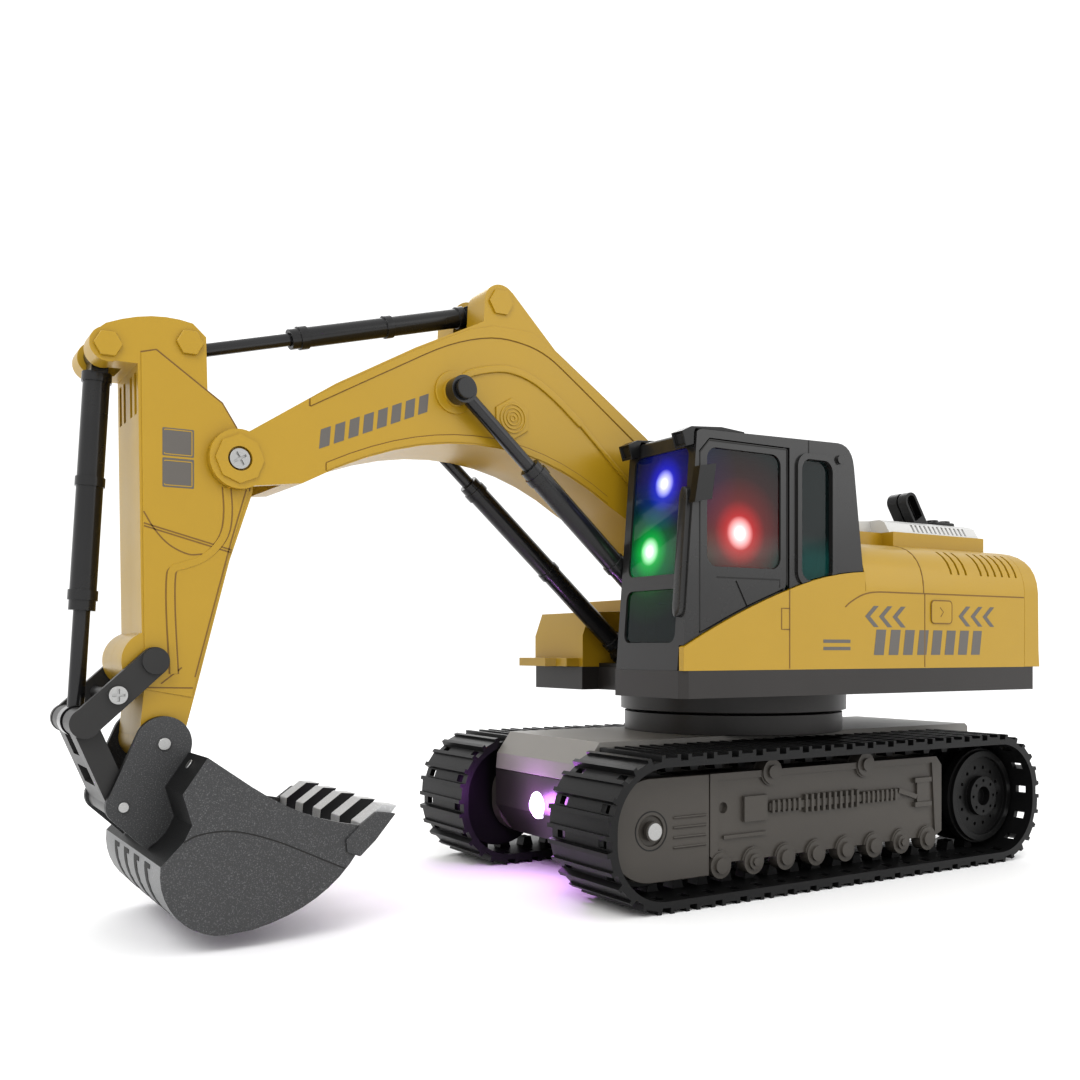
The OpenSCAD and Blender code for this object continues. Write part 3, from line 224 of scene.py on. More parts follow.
def lit_lens(name, colour, strength):
    """Lens of a lit diode: a glowing body with a slightly cloudy skin."""
    material, nodes, links, shader = new_material(name)
    cloud = noise_node(nodes, links, 900.0, 2.0)
    ramp = ramp_node(nodes, links, cloud.outputs["Fac"], [(0.3, shade(colour, 0.8)), (0.7, colour)])
    links.new(ramp.outputs["Color"], shader.inputs["Base Color"])
    links.new(ramp.outputs["Color"], shader.inputs["Emission Color"])
    shader.inputs["Emission Strength"].default_value = strength
    shader.inputs["Roughness"].default_value = 0.2
    return material


OCHRE = (0.355, 0.218, 0.010)

MATERIALS = {
    "yellow_plastic": moulded("yellow_plastic", OCHRE, rough=0.36, spread=0.035, grain=2400, bump=0.06,
                              coat=0.10),
    "frame_plastic": moulded("frame_plastic", (0.060, 0.054, 0.047), rough=0.46, spread=0.12, grain=2000,
                             bump=0.12, specular=0.4),
    "track_rubber": moulded("track_rubber", (0.0075, 0.0075, 0.0078), rough=0.40, spread=0.25, grain=1500,
                            bump=0.15, specular=0.28),
    "skirt_plastic": moulded("skirt_plastic", (0.024, 0.0215, 0.020), rough=0.36, spread=0.1, grain=2200,
                             bump=0.08, specular=0.4),
    "deck_plastic": moulded("deck_plastic", (0.22, 0.21, 0.195), rough=0.40, spread=0.08, grain=2000,
                            bump=0.08),
    "wheel_plastic": moulded("wheel_plastic", (0.007, 0.007, 0.007), spread=0.15, grain=1800, bump=0.1,
                             specular=0.22),
    "cab_plastic": moulded("cab_plastic", (0.0185, 0.0182, 0.018), rough=0.28, spread=0.08, coat=0.18,
                           specular=0.4),
    # the pane carries painted glows of the blue, green and red diodes behind it
    "tinted_window": clear_plastic("tinted_window", (0.005, 0.010, 0.010), (0.006, 0.050, 0.045), 0.84, [
        ((73, 47.3, 137), 26, (0.03, 0.03, 1.0)), ((74.5, 41.2, 114.2), 26, (0.01, 0.7, 0.06)),
        ((51.9, 62.3, 119.7), 30, (0.9, 0.015, 0.02))]),
    "seat_plastic": moulded("seat_plastic", (0.02, 0.055, 0.05), rough=0.5, spread=0.2, grain=1800,
                            bump=0.1),
    "grille_plastic": moulded("grille_plastic", (0.52, 0.52, 0.51), rough=0.42, spread=0.04, grain=2400,
                              bump=0.06),
    "black_plastic": moulded("black_plastic", (0.007, 0.007, 0.007), rough=0.30, spread=0.2, grain=2400,
                             bump=0.06, coat=0.1, specular=0.3),
    "cylinder_plastic": moulded("cylinder_plastic", (0.012, 0.012, 0.0125), rough=0.25, spread=0.2,
                                bump=0.03, coat=0.2, specular=0.35),
    "rod_metal": moulded("rod_metal", (0.012, 0.012, 0.013), rough=0.22, spread=0.15, grain=2800,
                         bump=0.02, coat=0.25, specular=0.4),
    "bucket_metal": moulded("bucket_metal", (0.036, 0.0365, 0.0375), rough=0.48, spread=0.10, grain=5200,
                            bump=0.30, mottle=40.0, speckle=(0.105, 0.106, 0.108)),
    "link_plastic": moulded("link_plastic", (0.033, 0.0325, 0.032), spread=0.12, grain=2400, bump=0.06,
                            specular=0.25),
    "screw_steel": brushed_metal("screw_steel", (0.42, 0.42, 0.415), 0.32),
    "lamp_lens": lit_lens("lamp_lens", (0.86, 0.78, 1.0), 2.2),
    "led_plastic": lit_lens("led_plastic", (0.30, 0.45, 1.0), 4.0),
    "gear_plastic": moulded("gear_plastic", (0.62, 0.58, 0.48), rough=0.5, spread=0.05),
    "motor_steel": brushed_metal("motor_steel", (0.55, 0.55, 0.53), 0.32),
    "battery_wrap": moulded("battery_wrap", (0.02, 0.08, 0.35), rough=0.3, spread=0.05),
    "board_laminate": moulded("board_laminate", (0.01, 0.10, 0.035), rough=0.4, spread=0.1),
}
MARK = moulded("printed_mark", (0.105, 0.096, 0.086), rough=0.5, spread=0.08, bump=0.02)
# painted light: pale grey for the bucket's back where it faces the lamps
LIT_BACK_PAINT = moulded("painted_lit_bucket_back", (0.13, 0.132, 0.134), rough=0.4, spread=0.1, grain=3000, bump=0.2,
                    mottle=60.0, speckle=(0.18, 0.182, 0.185))
TOOTH_GREY = moulded("worn_teeth", (0.40, 0.403, 0.406), rough=0.4, spread=0.1, grain=3000, bump=0.2,
                     mottle=60.0, speckle=(0.52, 0.523, 0.527))
# painted shade: near-black for the recess behind the bucket's ears and for the sides of the teeth that face each
# other
RECESS_SHADE_PAINT = moulded("painted_recess_shade", (0.010, 0.0102, 0.0105), rough=0.45, spread=0.1, grain=3000,
                        bump=0.2, specular=0.25)
# painted shade: dark ochre lines where yellow panels step or meet
SHADOW_LINE_PAINT = moulded("shadow_line", (0.16, 0.085, 0.012), rough=0.6, spread=0.1, bump=0.02)
# painted shade: near-black for gaps, seams, grooves and creases
GAP_SHADE_PAINT = moulded("painted_gap_shade", (0.012, 0.0115, 0.011), rough=0.7, spread=0.2, grain=1500)
LEDS = {
    "blue": lit_lens("diode_blue", (0.10, 0.16, 1.0), 22.0),
    "green": lit_lens("diode_green", (0.06, 1.0, 0.16), 16.0),
    "red": lit_lens("diode_red", (1.0, 0.05, 0.05), 18.0),
}


# ---------- mesh helpers ----------

SHARP_ANGLE = 35.0
BEVEL_ANGLE = 28.0


def finish_mesh(name, bm, material, body):
    """Turns bmesh into an object that rides on a body, with smooth shading broken at sharp edges."""
    mesh = bpy.data.meshes.new(name)
    bm.to_mesh(mesh)
    bm.free()
    for polygon in mesh.polygons:
        polygon.use_smooth = True
    mesh.set_sharp_from_angle(angle=math.radians(SHARP_ANGLE))
    piece = bpy.data.objects.new(name, mesh)
    bpy.context.scene.collection.objects.link(piece)
    mesh.materials.append(material)
    modifier = piece.modifiers.new("weighted", "WEIGHTED_NORMAL")
    modifier.keep_sharp = True
    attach(piece, body)
    return piece


def bevel_sharp(bm, width):
    """Rounds every sharp edge by a width in millimetres."""
    limit = math.radians(BEVEL_ANGLE)
    edges = [e for e in bm.edges if len(e.link_faces) == 2 and e.calc_face_angle() > limit]
    if edges:
        bmesh.ops.bevel(bm, geom=edges, offset=width * MM, offset_type="OFFSET", segments=2, profile=0.5,
                        affect="EDGES", clamp_overlap=True)


def refined(node, width, paint=None):
    """A clean copy of a CAD node with its flat faces merged and its sharp edges rounded.

    paint is a function that gives a face's extra material by its middle and normal, or None.
    """
    bm = bmesh.new()
    bm.from_mesh(frame["nodes"][node].data)
    bmesh.ops.remove_doubles(bm, verts=bm.verts, dist=0.002 * MM)
    bmesh.ops.dissolve_limit(bm, angle_limit=math.radians(1.0), verts=bm.verts, edges=bm.edges)
    if node == "cab_door":
        lift_door_heel(bm)
    bevel_sharp(bm, width)
    slot = SLOT_OF[node]
    piece = finish_mesh(node + "_skin", bm, MATERIALS[slot], BODY_OF[node])
    if paint:
        for face in piece.data.polygons:
            extra = paint(machine(face.center), face.normal)
            if extra:
                if extra.name not in piece.data.materials:
                    piece.data.materials.append(extra)
                face.material_index = piece.data.materials.find(extra.name)
    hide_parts(node)
    return piece


BUCKET_BACK = (219.0, 18.4)
BUCKET_BACK_RADIUS = 18.4
SPACER_SHARE = 0.55


def lift_door_heel(bm):
    """Raises the door's lower corner at the hinge, so that it clears the sloping sill when it swings out."""
    hinge = machine(JOINTS["door_swing"]["pos_m"])
    for vert in bm.verts:
        point = machine(vert.co)
        if point.z < 102.5 and abs(point.x - hinge.x) < 2.0:
            vert.co.z += 0.4 * MM


def reach_from(middle, centre):
    """Distance of a point from an axis along Y, given as an x-z point."""
    return (Vector((middle.x, middle.z)) - Vector(centre)).length


def bucket_paint(middle, normal):
    """Painted shade in the recess behind the ears and in the grooves of the back, and painted light on the pale
    back where it faces the lamps.
    """
    depth = BUCKET_BACK_RADIUS - reach_from(middle, BUCKET_BACK)
    behind = middle.x > BUCKET_BACK[0] - 3
    # painted shade in the bottoms of the grooves in the back
    if behind and middle.z < 19 and 0.2 < depth < 1.4:
        return GAP_SHADE_PAINT
    if abs(normal.y) > 0.5:
        return None
    # painted shade in the recess behind the ears
    if middle.z > 20.6 and middle.x > 223.5 and abs(middle.y) < 37.9 and normal.x > 0.1:
        return RECESS_SHADE_PAINT
    # painted light on the pale back, where it faces the lamps
    if behind and -0.8 < depth < 0.2:
        return LIT_BACK_PAINT
    return None


def teeth_paint(middle, normal):
    """Pale worn teeth, with painted shade on the sides where they face each other."""
    return RECESS_SHADE_PAINT if abs(normal.y) > 0.5 and abs(middle.y) < 36.0 else TOOTH_GREY


def rocker_paint(middle, normal):
    """Bright cross-head screws on the spacer between the two rockers."""
    upper, lower = (machine(JOINTS[name]["pos_m"]) for name in ("rocker_tilt", "link_tilt"))
    spacer = upper.lerp(lower, SPACER_SHARE)
    near = reach_from(middle, (spacer.x, spacer.z)) < 2.7
    return MATERIALS["screw_steel"] if abs(middle.y) > 18.0 and near else None


# ---------- refined CAD shells ----------

PLAIN_NODES = ["battery_pack", "circuit_board", "slew_motor", "boom_motor", "stick_motor", "slew_pinion",
               "drive_gearboxes", "battery_door", "chassis_screws", "cab_windows", "door_window"]
BEVELS = {"track_belt_left": 0.2, "track_belt_right": 0.2, "boom_left": 0.9, "boom_right": 0.9,
          "stick_left": 0.8, "stick_right": 0.8, "bucket_shell": 0.5, "cab_shell": 0.6, "engine_hood": 0.5,
          "side_panel_left": 0.5, "house_base": 0.8, "chassis_deck": 0.8}
BEVEL_ELSEWHERE = 0.3

PAINTS = {"bucket_shell": bucket_paint, "bucket_teeth": teeth_paint, "rocker_arms": rocker_paint}

for node, cad_object in frame["nodes"].items():
    if node in PLAIN_NODES:
        cad_object.data.materials.clear()
        cad_object.data.materials.append(MATERIALS[SLOT_OF[node]])
    elif node != "cab_leds":
        refined(node, BEVELS.get(node, BEVEL_ELSEWHERE), paint=PAINTS.get(node))


# ---------- outlines and relief ----------


def smooth_path(points, steps=6):
    """Points of a Catmull-Rom curve through a few points of the x-z plane."""
    points = [Vector(point) for point in points]
    ends = [2 * points[0] - points[1]] + points + [2 * points[-1] - points[-2]]
    path = []
    for a, b, c, d in zip(ends, ends[1:], ends[2:], ends[3:]):
        for step in range(steps):
            t = step / steps
            path.append(0.5 * (2 * b + (c - a) * t + (2 * a - 5 * b + 4 * c - d) * t * t
                               + (3 * b - a - 3 * c + d) * t * t * t))
    return path + [points[-1]]


def bezier(a, b, c, steps=10):
    """Points of a quadratic curve from a to c that leans towards b, as in the part's own outlines."""
    a, b, c = Vector(a), Vector(b), Vector(c)
    return [(1 - t) ** 2 * a + 2 * t * (1 - t) * b + t * t * c for t in (i / steps for i in range(steps + 1))]


def ribbon(points, width):
    """Outline of a band of constant width along a path."""
    points = [Vector(point) for point in points]
    left, right = [], []
    for index, point in enumerate(points):
        ahead = points[min(index + 1, len(points) - 1)] - points[max(index - 1, 0)]
        normal = Vector((-ahead.y, ahead.x)).normalized() * width / 2
        left.append(point + normal)
        right.append(point - normal)
    return left + right[::-1]


def circle_points(centre, radius, count=32, turn=0.0):
    angles = [turn + 2 * math.pi * i / count for i in range(count)]
    return [Vector(centre) + radius * Vector((math.cos(a), math.sin(a))) for a in angles]


def round_rect(x0, z0, x1, z1, radius, steps=5):
    """Rectangle with round corners as a list of points."""
    corners = [(x1 - radius, z1 - radius, 0), (x0 + radius, z1 - radius, 90), (x0 + radius, z0 + radius, 180),
               (x1 - radius, z0 + radius, 270)]
    return [Vector((x, z)) + radius * Vector((math.cos(a), math.sin(a)))
            for x, z, start in corners
            for a in (math.radians(start + 90 * i / steps) for i in range(steps + 1))]


def add_prism(bm, outline, y0, y1):
    """Adds an outline of x-z points, extruded along Y from y0 to y1, in millimetres."""
    verts = [bm.verts.new(place(x, y0, z)) for x, z in outline]
    grown = bmesh.ops.extrude_face_region(bm, geom=[bm.faces.new(verts)])
    moved = [item for item in grown["geom"] if isinstance(item, bmesh.types.BMVert)]
    bmesh.ops.translate(bm, verts=moved, vec=(0.0, (y1 - y0) * MM, 0.0))


def add_ring(bm, centre, outer, inner, y0, y1, count=40):
    """Adds a flat ring round an axis along Y."""
    loops = [[bm.verts.new(place(x, y, z)) for x, z in circle_points(centre, radius, count)]
             for radius, y in ((outer, y0), (outer, y1), (inner, y1), (inner, y0))]
    for first, second in zip(loops, loops[1:] + loops[:1]):
        for i in range(count):
            j = (i + 1) % count
            bm.faces.new((first[i], first[j], second[j], second[i]))


def relief(name, outlines, y0, y1, material, body, bevel=0.0, sides=(1,), rings=()):
    """One piece made of prisms and rings on a side face, repeated on the sides that are asked for."""
    bm = bmesh.new()
    for side in sides:
        for outline in outlines:
            add_prism(bm, outline, side * y0, side * y1)
        for centre, outer, inner in rings:
            add_ring(bm, centre, outer, inner, side * y0, side * y1)
    bmesh.ops.recalc_face_normals(bm, faces=bm.faces)
    if bevel:
        bevel_sharp(bm, bevel)
    return finish_mesh(name, bm, material, body)


BOTH = (1, -1)
GROOVE_RISE = 0.07
PRINT_RISE = 0.05


def yellow_relief(name, outlines, y0, y1, body, bevel=0.0, sides=BOTH, rings=()):
    """Relief in the yellow plastic of the shell it stands on."""
    return relief(name, outlines, y0, y1, MATERIALS["yellow_plastic"], body, bevel, sides,
                  rings)


def grooves(name, paths, y, body, width=0.42, sides=(1,), material=None):
    """Fine dark lines of painted shade where a panel steps or meets its neighbour."""
    return relief(name, [ribbon(path, width) for path in paths], y - 0.05, y + GROOVE_RISE,
                  material or SHADOW_LINE_PAINT, body, sides=sides)


# ---------- boom trim ----------

BOOM_SIDE = 17.8
RAM_PIN = (137, 166)


def boom_trim():
    ridge = smooth_path([(187.4, 155.9), (159.1, 171.4), (139.6, 181.6), (123.3, 186.4), (110.5, 186.1),
                         (100.6, 183.1), (90.5, 176.6), (69.3, 161.4), (30, 133.2)], 4)
    upper_edge = [(30, 137.0), (57.0, 157.4), (78.0, 172.0), (97.2, 184.9), (107.0, 190.6), (122.0, 190.6),
                  (131.8, 187.9), (151.1, 178.5), (178.8, 163.3), (187.4, 158.2)]
    belly = bezier((190, 131.6), (127, 166.5), (75, 132.7), 16)
    lower = [p + Vector((0, 0.5)) for p in belly[1:]]
    upper = [p + Vector((0, 2.9)) for p in belly[1:]]
    yellow_relief("boom_flanges", [ridge + upper_edge, upper + lower[::-1]], BOOM_SIDE - 0.2,
                  BOOM_SIDE + 0.35, "boom", 0.15)
    # painted shadow lines along the boom's flanges
    grooves("boom_flange_lines", [ridge, [(187.5, 158.2), (187.6, 155.8)], upper, [upper[0], lower[0]]],
            BOOM_SIDE, "boom", 0.55, BOTH)
    hose = smooth_path([(136, 170), (130.4, 173.6), (120.1, 176.2), (112.6, 175.9), (105.0, 173.4),
                        (96.1, 167.9), (86.4, 160.3)], 5)
    thin_hose = smooth_path([(86.9, 160.8), (78.8, 153.4), (69.5, 145), (56, 133.5)], 5)
    yellow_relief("boom_hose_rib", [ribbon(hose, 2.6), ribbon(thin_hose, 1.7)], BOOM_SIDE - 0.4,
                  BOOM_SIDE + 0.85, "boom", 0.55)
    yellow_relief("boom_ram_boss", [circle_points((137.4, 166), 7.2)], BOOM_SIDE - 0.3, BOOM_SIDE + 0.8,
                  "boom", 0.4)
    yellow_relief("boom_ram_collar", [circle_points(RAM_PIN, 4.9)], BOOM_SIDE, BOOM_SIDE + 1.7, "boom", 0.4)
    yellow_relief("boom_ringed_boss", [circle_points((115.2, 159.5), 7.3, 6, 0.5)], BOOM_SIDE - 0.3,
                  BOOM_SIDE + 0.65, "boom", 0.3)
    yellow_relief("boom_boss_rings", [], BOOM_SIDE + 0.6, BOOM_SIDE + 1.0, "boom", 0.12,
                  rings=[((115.0, 159.7), r + 0.55, r) for r in (0.7, 2.0, 3.3, 4.6)])
    stripes = []
    for i in range(8):
        x = 184.6 - i * 4.85
        z = 145.7 + i * 2.04
        stripes.append([(x, z - 2.9), (x - 3.4, z - 1.5), (x - 3.9, z + 4.6), (x - 0.6, z + 3.2)])
    relief("boom_print", stripes, BOOM_SIDE - 0.05, BOOM_SIDE + PRINT_RISE, MARK, "boom", sides=BOTH)
    relief("boom_ram_caps", [circle_points(RAM_PIN, 3.55)], 25.1, 26.75, MATERIALS["cylinder_plastic"],
           "boom", 0.35, BOTH)


# ---------- stick trim ----------

STICK_SIDE = 14.5


def stick_trim():
    panel = [(237.4, 166.2), (233.2, 167.5), (214.0, 154.1), (209.8, 147.4), (205.2, 136.4), (205.8, 128.4),
             (212.3, 107.2), (222.9, 66), (236.2, 68.6), (236.6, 88)]
    face = STICK_SIDE + 0.35
    yellow_relief("stick_side_panel", [panel], STICK_SIDE - 0.2, face, "stick", 0.18)
    conduit = smooth_path([(212.6, 129), (212.2, 121.9), (213.0, 115.6), (215.6, 111), (219.6, 107.4),
                           (224.6, 105.2), (228.0, 104.0), (229.0, 101.0), (229.0, 90.5), (228.1, 73)], 5)
    arc = smooth_path([(236.7, 120.3), (233.5, 115.1), (229.4, 110.9), (224.0, 108.4), (219.8, 108.6)], 5)
    brace = [(236.6, 116.9), (211.0, 110.2)]
    yellow_relief("stick_conduit", [ribbon(conduit, 2.2)], face - 0.2, face + 0.22, "stick", 0.18)
    lines = [[p + Vector((dx, 0)) for p in conduit] for dx in (-1.3, 1.3)]
    lines += [arc, brace, [(236.6, 116.1), (211.2, 109.4)], [(206.6, 128.8), (211.2, 113), (222.0, 72)],
              [(237.0, 69.2), (222.6, 68.8)], [(231.8, 70.2), (225.8, 74.9)]]
    # painted shadow lines along the stick's conduit, arc and brace
    grooves("stick_lines", lines, face, "stick", 0.4, BOTH)
    outline = panel + [panel[0]]
    # painted shadow line under the raised edge of the stick's side panel
    grooves("stick_panel_edge", [outline[:6]], STICK_SIDE, "stick", 1.0, BOTH)
    labels = [round_rect(222.3, z0, 231.4, z1, 0.3) for z0, z1 in ((137.0, 145.2), (127.8, 136.4))]
    relief("stick_labels", labels, face - 0.05, face + PRINT_RISE, MARK, "stick", sides=BOTH)
    frames = [ribbon(round_rect(222.9, z0, 230.8, z0 + 7.2, 0.3) + [Vector((230.8, z0 + 0.4))], 0.28)
              for z0 in (137.5, 128.4)]
    yellow_relief("stick_label_frames", frames, face, face + 0.08, "stick")


# ---------- house trim ----------

HOUSE_SIDE = 65.0


def chevron(x, z):
    """A broad arrowhead that points forward, with its tip at a point."""
    arm, half, broad = 4.6, 3.9, 2.6
    return [(x, z), (x - arm, z + half), (x - arm - broad, z + half), (x - broad, z),
            (x - arm - broad, z - half), (x - arm, z - half)]


def house_trim():
    marks = [chevron(tip - i * 7.3, z) for tip, z in ((-6.8, 92.4), (-58.8, 93.2)) for i in range(3)]
    for i in range(8):
        x = -11.4 - i * 7.85
        marks.append([(x, 78.2), (x - 5.2, 78.2), (x - 6.6, 87.6), (x - 1.4, 87.6)])
    marks += [ribbon([(14.4, 80.6), (0.8, 80.6)], 1.2), ribbon([(14.4, 83.2), (0.8, 83.2)], 1.2)]
    relief("house_print", marks, HOUSE_SIDE - 0.05, HOUSE_SIDE + 0.06, MARK, "house", sides=BOTH)
    button = round_rect(-54.6, 90.3, -42.8, 99.0, 1.6)
    yellow_relief("house_button", [button], HOUSE_SIDE - 0.2, HOUSE_SIDE + 0.35, "house", 0.25, (1,))
    # painted shadow lines round the house's button and its arrow
    grooves("house_button_lines", [button + [button[0]], [(-47.6, 96.4), (-49.6, 94.7), (-48, 92.8)]],
            HOUSE_SIDE + 0.32, "house", 0.4)
    seams = [
        [(30.7, 101.0), (30.7, 73.6)],
        [(30.7, 94.5), (34.5, 94.5), (34.5, 87.2), (30.7, 87.2)],
        smooth_path([(3.4, 95.6), (0.7, 97.4), (-4.4, 99.8), (-9, 101.0), (-14, 101.45), (-20, 101.5)], 4)
        + [(-99.6, 101.5)],
        [(-39.3, 101.4), (-39.3, 73.6)],
    ]
    # painted shadow lines along the house's seams, on the left and on the right
    grooves("house_seams", seams, HOUSE_SIDE, "house", 0.5)
    grooves("house_seams_right", [[(-39.3, 101.4), (-39.3, 73.6)], [(-7, 101.5), (-99.6, 101.5)]], HOUSE_SIDE,
            "house", 0.5, (-1,))
    hood_seam()


def hood_seam():
    """Cross seam over the hood: thin bands of painted shade that follow the shoulder's own curve."""
    shoulder = [Vector((65, 101.6))] + bezier((65, 103.5), (64, 121), (46, 121), 14)
    bm = bmesh.new()
    for side in BOTH:
        rows = []
        for y, z in ribbon(shoulder, 0.14):
            rows.append([bm.verts.new(place(x, side * y, z)) for x in (-38.9, -38.4)])
        for first, second in zip(rows, rows[1:] + rows[:1]):
            bm.faces.new((first[0], first[1], second[1], second[0]))
        for end in (0, 1):
            bm.faces.new([row[end] for row in rows])
    bmesh.ops.recalc_face_normals(bm, faces=bm.faces)
    finish_mesh("hood_seam", bm, SHADOW_LINE_PAINT, "house")


# ---------- cab trim ----------

CAB_SIDE = 64.0


def cab_front_x(z):
    """X of the leaning front face of the cab at a height."""
    return 77.6 - (z - 73.2) * (77.6 - 71.4) / (151 - 73.2)


def cab_trim():
    door_frame = [(70.1, 86.4), (70.1, 145.4), (66.2, 149.8), (31, 149.8), (31, 102.6)]
    roof_seam = [(20.6, 149.6), (20.6, 154.2)]
    sill_seam = [(62.8, 104.4), (34.4, 104.4), (34.4, 101.6)]
    # painted shade lines in the door's gap and along the cab's seams
    grooves("cab_seams", [door_frame, roof_seam, sill_seam], CAB_SIDE, "house", 0.5, material=GAP_SHADE_PAINT)
    bm = bmesh.new()
    rows = []
    for z in (91.0, 92.2, 94.0, 110.0, 130.6, 133.0, 134.2):
        tuck = 1.4 if z in (91.0, 134.2) else 0.4 if z in (92.2, 133.0) else 0.0
        x = cab_front_x(z)
        section = ((-0.4, 57.6 + tuck), (1.3, 58.2 + tuck), (1.7, 60.2), (1.3, 62.4 - tuck),
                   (-0.4, 63.0 - tuck))
        rows.append([bm.verts.new(place(x + dx, y, z)) for dx, y in section])
    for low, high in zip(rows, rows[1:]):
        for i in range(4):
            bm.faces.new((low[i], low[i + 1], high[i + 1], high[i]))
        bm.faces.new((low[4], low[0], high[0], high[4]))
    bm.faces.new(rows[0])
    bm.faces.new(rows[-1])
    bmesh.ops.recalc_face_normals(bm, faces=bm.faces)
    bevel_sharp(bm, 0.3)
    finish_mesh("cab_grab_bar", bm, MATERIALS["cab_plastic"], "house")


def cab_diodes():
    """The light diodes: dark stems and one glowing bulb each."""
    colours = [LEDS["blue"], LEDS["green"], LEDS["red"]]
    source = frame["nodes"]["cab_leds"].data
    bm = bmesh.new()
    bm.from_mesh(source)
    bmesh.ops.remove_doubles(bm, verts=bm.verts, dist=0.002 * MM)
    bulbs = [place(*point) for point in LED_PLACES]
    for face in bm.faces:
        centre = face.calc_center_median()
        distances = [(centre - bulb).length for bulb in bulbs]
        nearest = min(range(3), key=lambda i: distances[i])
        face.material_index = nearest + 1 if distances[nearest] < 1.82 * MM else 0
    piece = finish_mesh("cab_leds_lit", bm, MATERIALS["black_plastic"], "house")
    for material in colours:
        piece.data.materials.append(material)
    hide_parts("cab_leds")


LED_PLACES = [(65, 37, 139), (67.4, 31.8, 115.2), (29.4, 37, 123.2)]


# ---------- undercarriage trim ----------

PANEL_SIDE = 58.5
IDLER = machine(JOINTS["idler_left_turn"]["pos_m"]).xz
ROLLER_PITCH = 15


def undercarriage_trim():
    relief("idler_bolts", [circle_points(IDLER, 2.9)], PANEL_SIDE + 1.5, PANEL_SIDE + 2.2,
           MATERIALS["screw_steel"], "undercarriage", 0.45, BOTH)
    # painted shade in a thin ring round the idler's hub
    relief("idler_bolt_rings", [], PANEL_SIDE - 0.05, PANEL_SIDE + 0.12, GAP_SHADE_PAINT, "undercarriage",
           sides=BOTH, rings=[(IDLER, 6.6, 6.2)])
    hexes = [circle_points((56.5 - i * ROLLER_PITCH, 6.6), 1.5, 6) for i in (1, 6)]
    relief("roller_bolts", hexes, PANEL_SIDE + 1.2, PANEL_SIDE + 1.9, MATERIALS["frame_plastic"],
           "undercarriage", 0.15, BOTH)


# ---------- bucket trim ----------

BUCKET_SIDE = 38.0


def bucket_trim():
    arc = smooth_path([(231.0, 27.1), (227.2, 28.7), (220.3, 29.3), (213.3, 28.1), (204.3, 24.9), (196, 21.0),
                       (189, 17.6), (184.0, 15.2)], 5)
    # painted shade line along the arc on each side of the bucket
    grooves("bucket_side_line", [arc], BUCKET_SIDE, "bucket", 0.42, BOTH, GAP_SHADE_PAINT)
    cutter = [(179.6, 27.6), (184.0, 23.8), (183.6, 20.0), (179.4, 18.4), (174.5, 22.8), (167.9, 30.4),
              (174.2, 31.4)]
    relief("bucket_side_cutters", [cutter], BUCKET_SIDE - 0.9, BUCKET_SIDE + 0.9, MATERIALS["bucket_metal"],
           "bucket", 0.35, BOTH)
    bucket_groove_shade()


def bucket_groove_shade():
    """Painted shade lining the four grooves in the bucket's back, each with a short hook at its top."""
    bm = bmesh.new()
    radius = BUCKET_BACK_RADIUS - 0.02
    curve = [Vector(BUCKET_BACK) + radius * Vector((math.cos(a), math.sin(a)))
             for a in (math.radians(4 - 68 * i / 17) for i in range(18))]
    for y in (-21, -7, 7, 21):
        add_prism(bm, ribbon(curve, 0.22), y - 1.75, y + 1.75)
        add_prism(bm, ribbon(curve[:2], 0.22), y + 1.75, y + 4.6)
    bmesh.ops.recalc_face_normals(bm, faces=bm.faces)
    finish_mesh("bucket_groove_shade", bm, GAP_SHADE_PAINT, "bucket")


boom_trim()
stick_trim()
house_trim()
cab_trim()
cab_diodes()
undercarriage_trim()
bucket_trim()


# ---------- stage, light and camera ----------

CAMERA_X, CAMERA_Y, CAMERA_Z = 308.9, 351.4, 80.0
CAMERA_TURN = math.radians(31.6)
HORIZON_SHIFT = 0.102
LENS = 37.33
MIDDLE = (0.0, 0.0, 0.1)


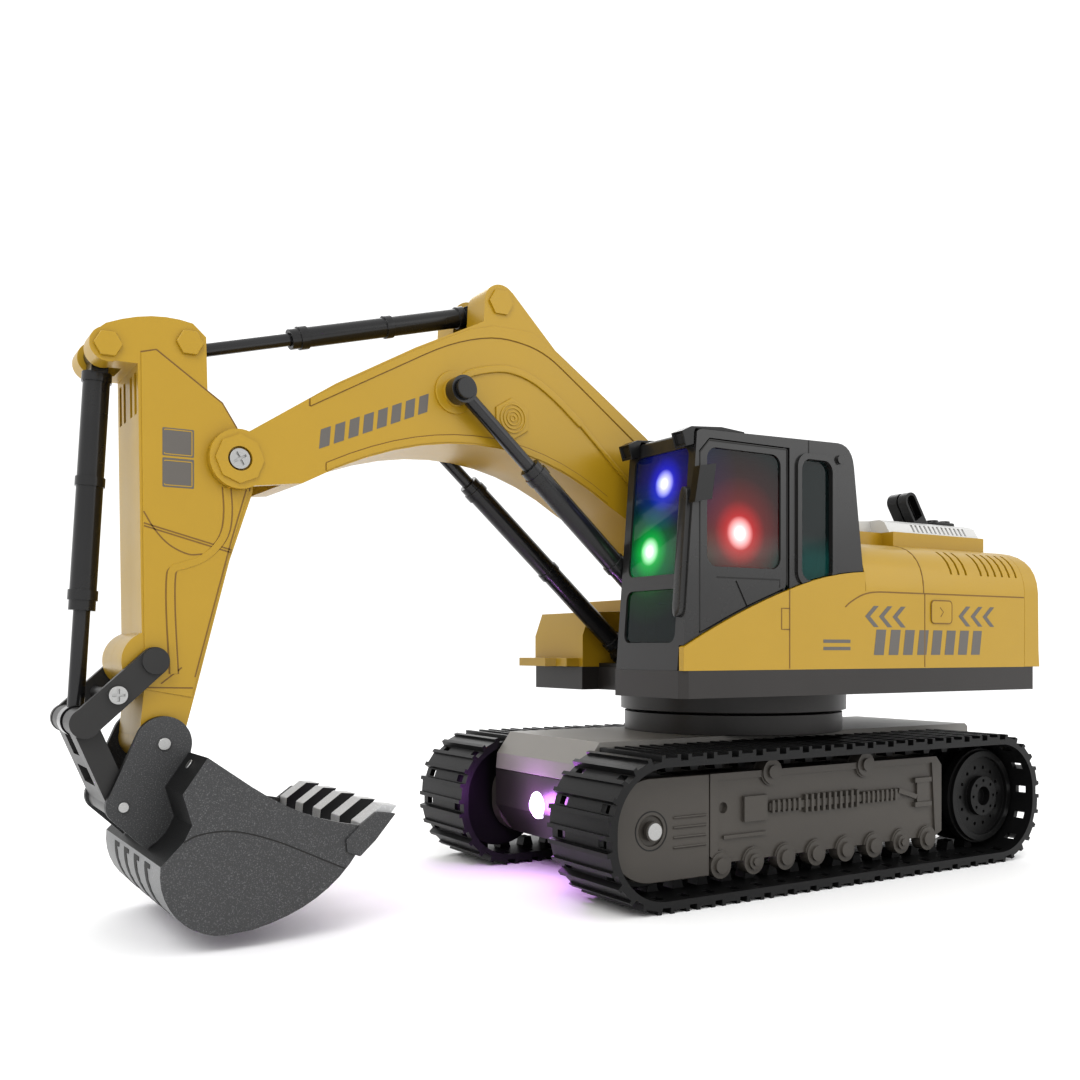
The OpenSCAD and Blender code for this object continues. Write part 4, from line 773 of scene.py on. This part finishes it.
def add_stage():
    """A wide white floor."""
    bm = bmesh.new()
    bmesh.ops.create_circle(bm, cap_ends=True, segments=96, radius=6.0)
    mesh = bpy.data.meshes.new("floor")
    bm.to_mesh(mesh)
    bm.free()
    floor = bpy.data.objects.new("floor", mesh)
    bpy.context.scene.collection.objects.link(floor)
    material, nodes, links, shader = new_material("floor_paper")
    cloud = noise_node(nodes, links, 3.0)
    ramp = ramp_node(nodes, links, cloud.outputs["Fac"],
                     [(0.3, (0.97, 0.97, 0.97)), (0.7, (0.99, 0.99, 0.99))])
    links.new(ramp.outputs["Color"], shader.inputs["Base Color"])
    shader.inputs["Roughness"].default_value = 0.7
    mesh.materials.append(material)


def add_area(name, location, size, energy):
    """A white disk light, aimed at the middle of the object."""
    light = bpy.data.lights.new(name, "AREA")
    light.shape = "DISK"
    light.size = size
    light.energy = energy
    lamp = bpy.data.objects.new(name, light)
    bpy.context.scene.collection.objects.link(lamp)
    lamp.location = location
    lamp.rotation_euler = (Vector(MIDDLE) - Vector(location)).to_track_quat("-Z", "Y").to_euler()


def add_light():
    """Even white surroundings, three soft lamps and the violet shine of the front light."""
    world = bpy.data.worlds.new("studio")
    bpy.context.scene.world = world
    world.use_nodes = True
    world.node_tree.nodes["Background"].inputs["Color"].default_value = (1.0, 1.0, 1.0, 1.0)
    world.node_tree.nodes["Background"].inputs["Strength"].default_value = 1.0
    add_area("key_light", (0.9, 0.9, 1.3), 0.9, 9.0)
    add_area("fill_light", (-0.9, 1.1, 0.7), 1.0, 2.5)
    add_area("back_light", (-0.5, -1.1, 1.0), 1.0, 3.5)
    glow = bpy.data.lights.new("lamp_glow", "POINT")
    glow.energy = 0.03
    glow.color = (0.70, 0.22, 1.0)
    glow.shadow_soft_size = 0.004
    lamp = bpy.data.objects.new("lamp_glow", glow)
    bpy.context.scene.collection.objects.link(lamp)
    lamp.location = place(101, 0, 23)


def add_camera():
    """Level camera to the front left, raised by a lens shift."""
    camera = bpy.data.cameras.new("camera")
    camera.sensor_width = 36.0
    camera.lens = LENS
    camera.shift_y = HORIZON_SHIFT
    camera.clip_start = 0.01
    view = bpy.data.objects.new("camera", camera)
    bpy.context.scene.collection.objects.link(view)
    view.location = place(CAMERA_X, CAMERA_Y, CAMERA_Z)
    direction = Vector((-math.sin(CAMERA_TURN), -math.cos(CAMERA_TURN), 0.0))
    view.rotation_euler = direction.to_track_quat("-Z", "Y").to_euler()
    bpy.context.scene.camera = view


add_stage()
add_light()
add_camera()
bpy.context.scene.view_settings.view_transform = "Standard"
bpy.context.scene.view_settings.look = "Medium High Contrast"
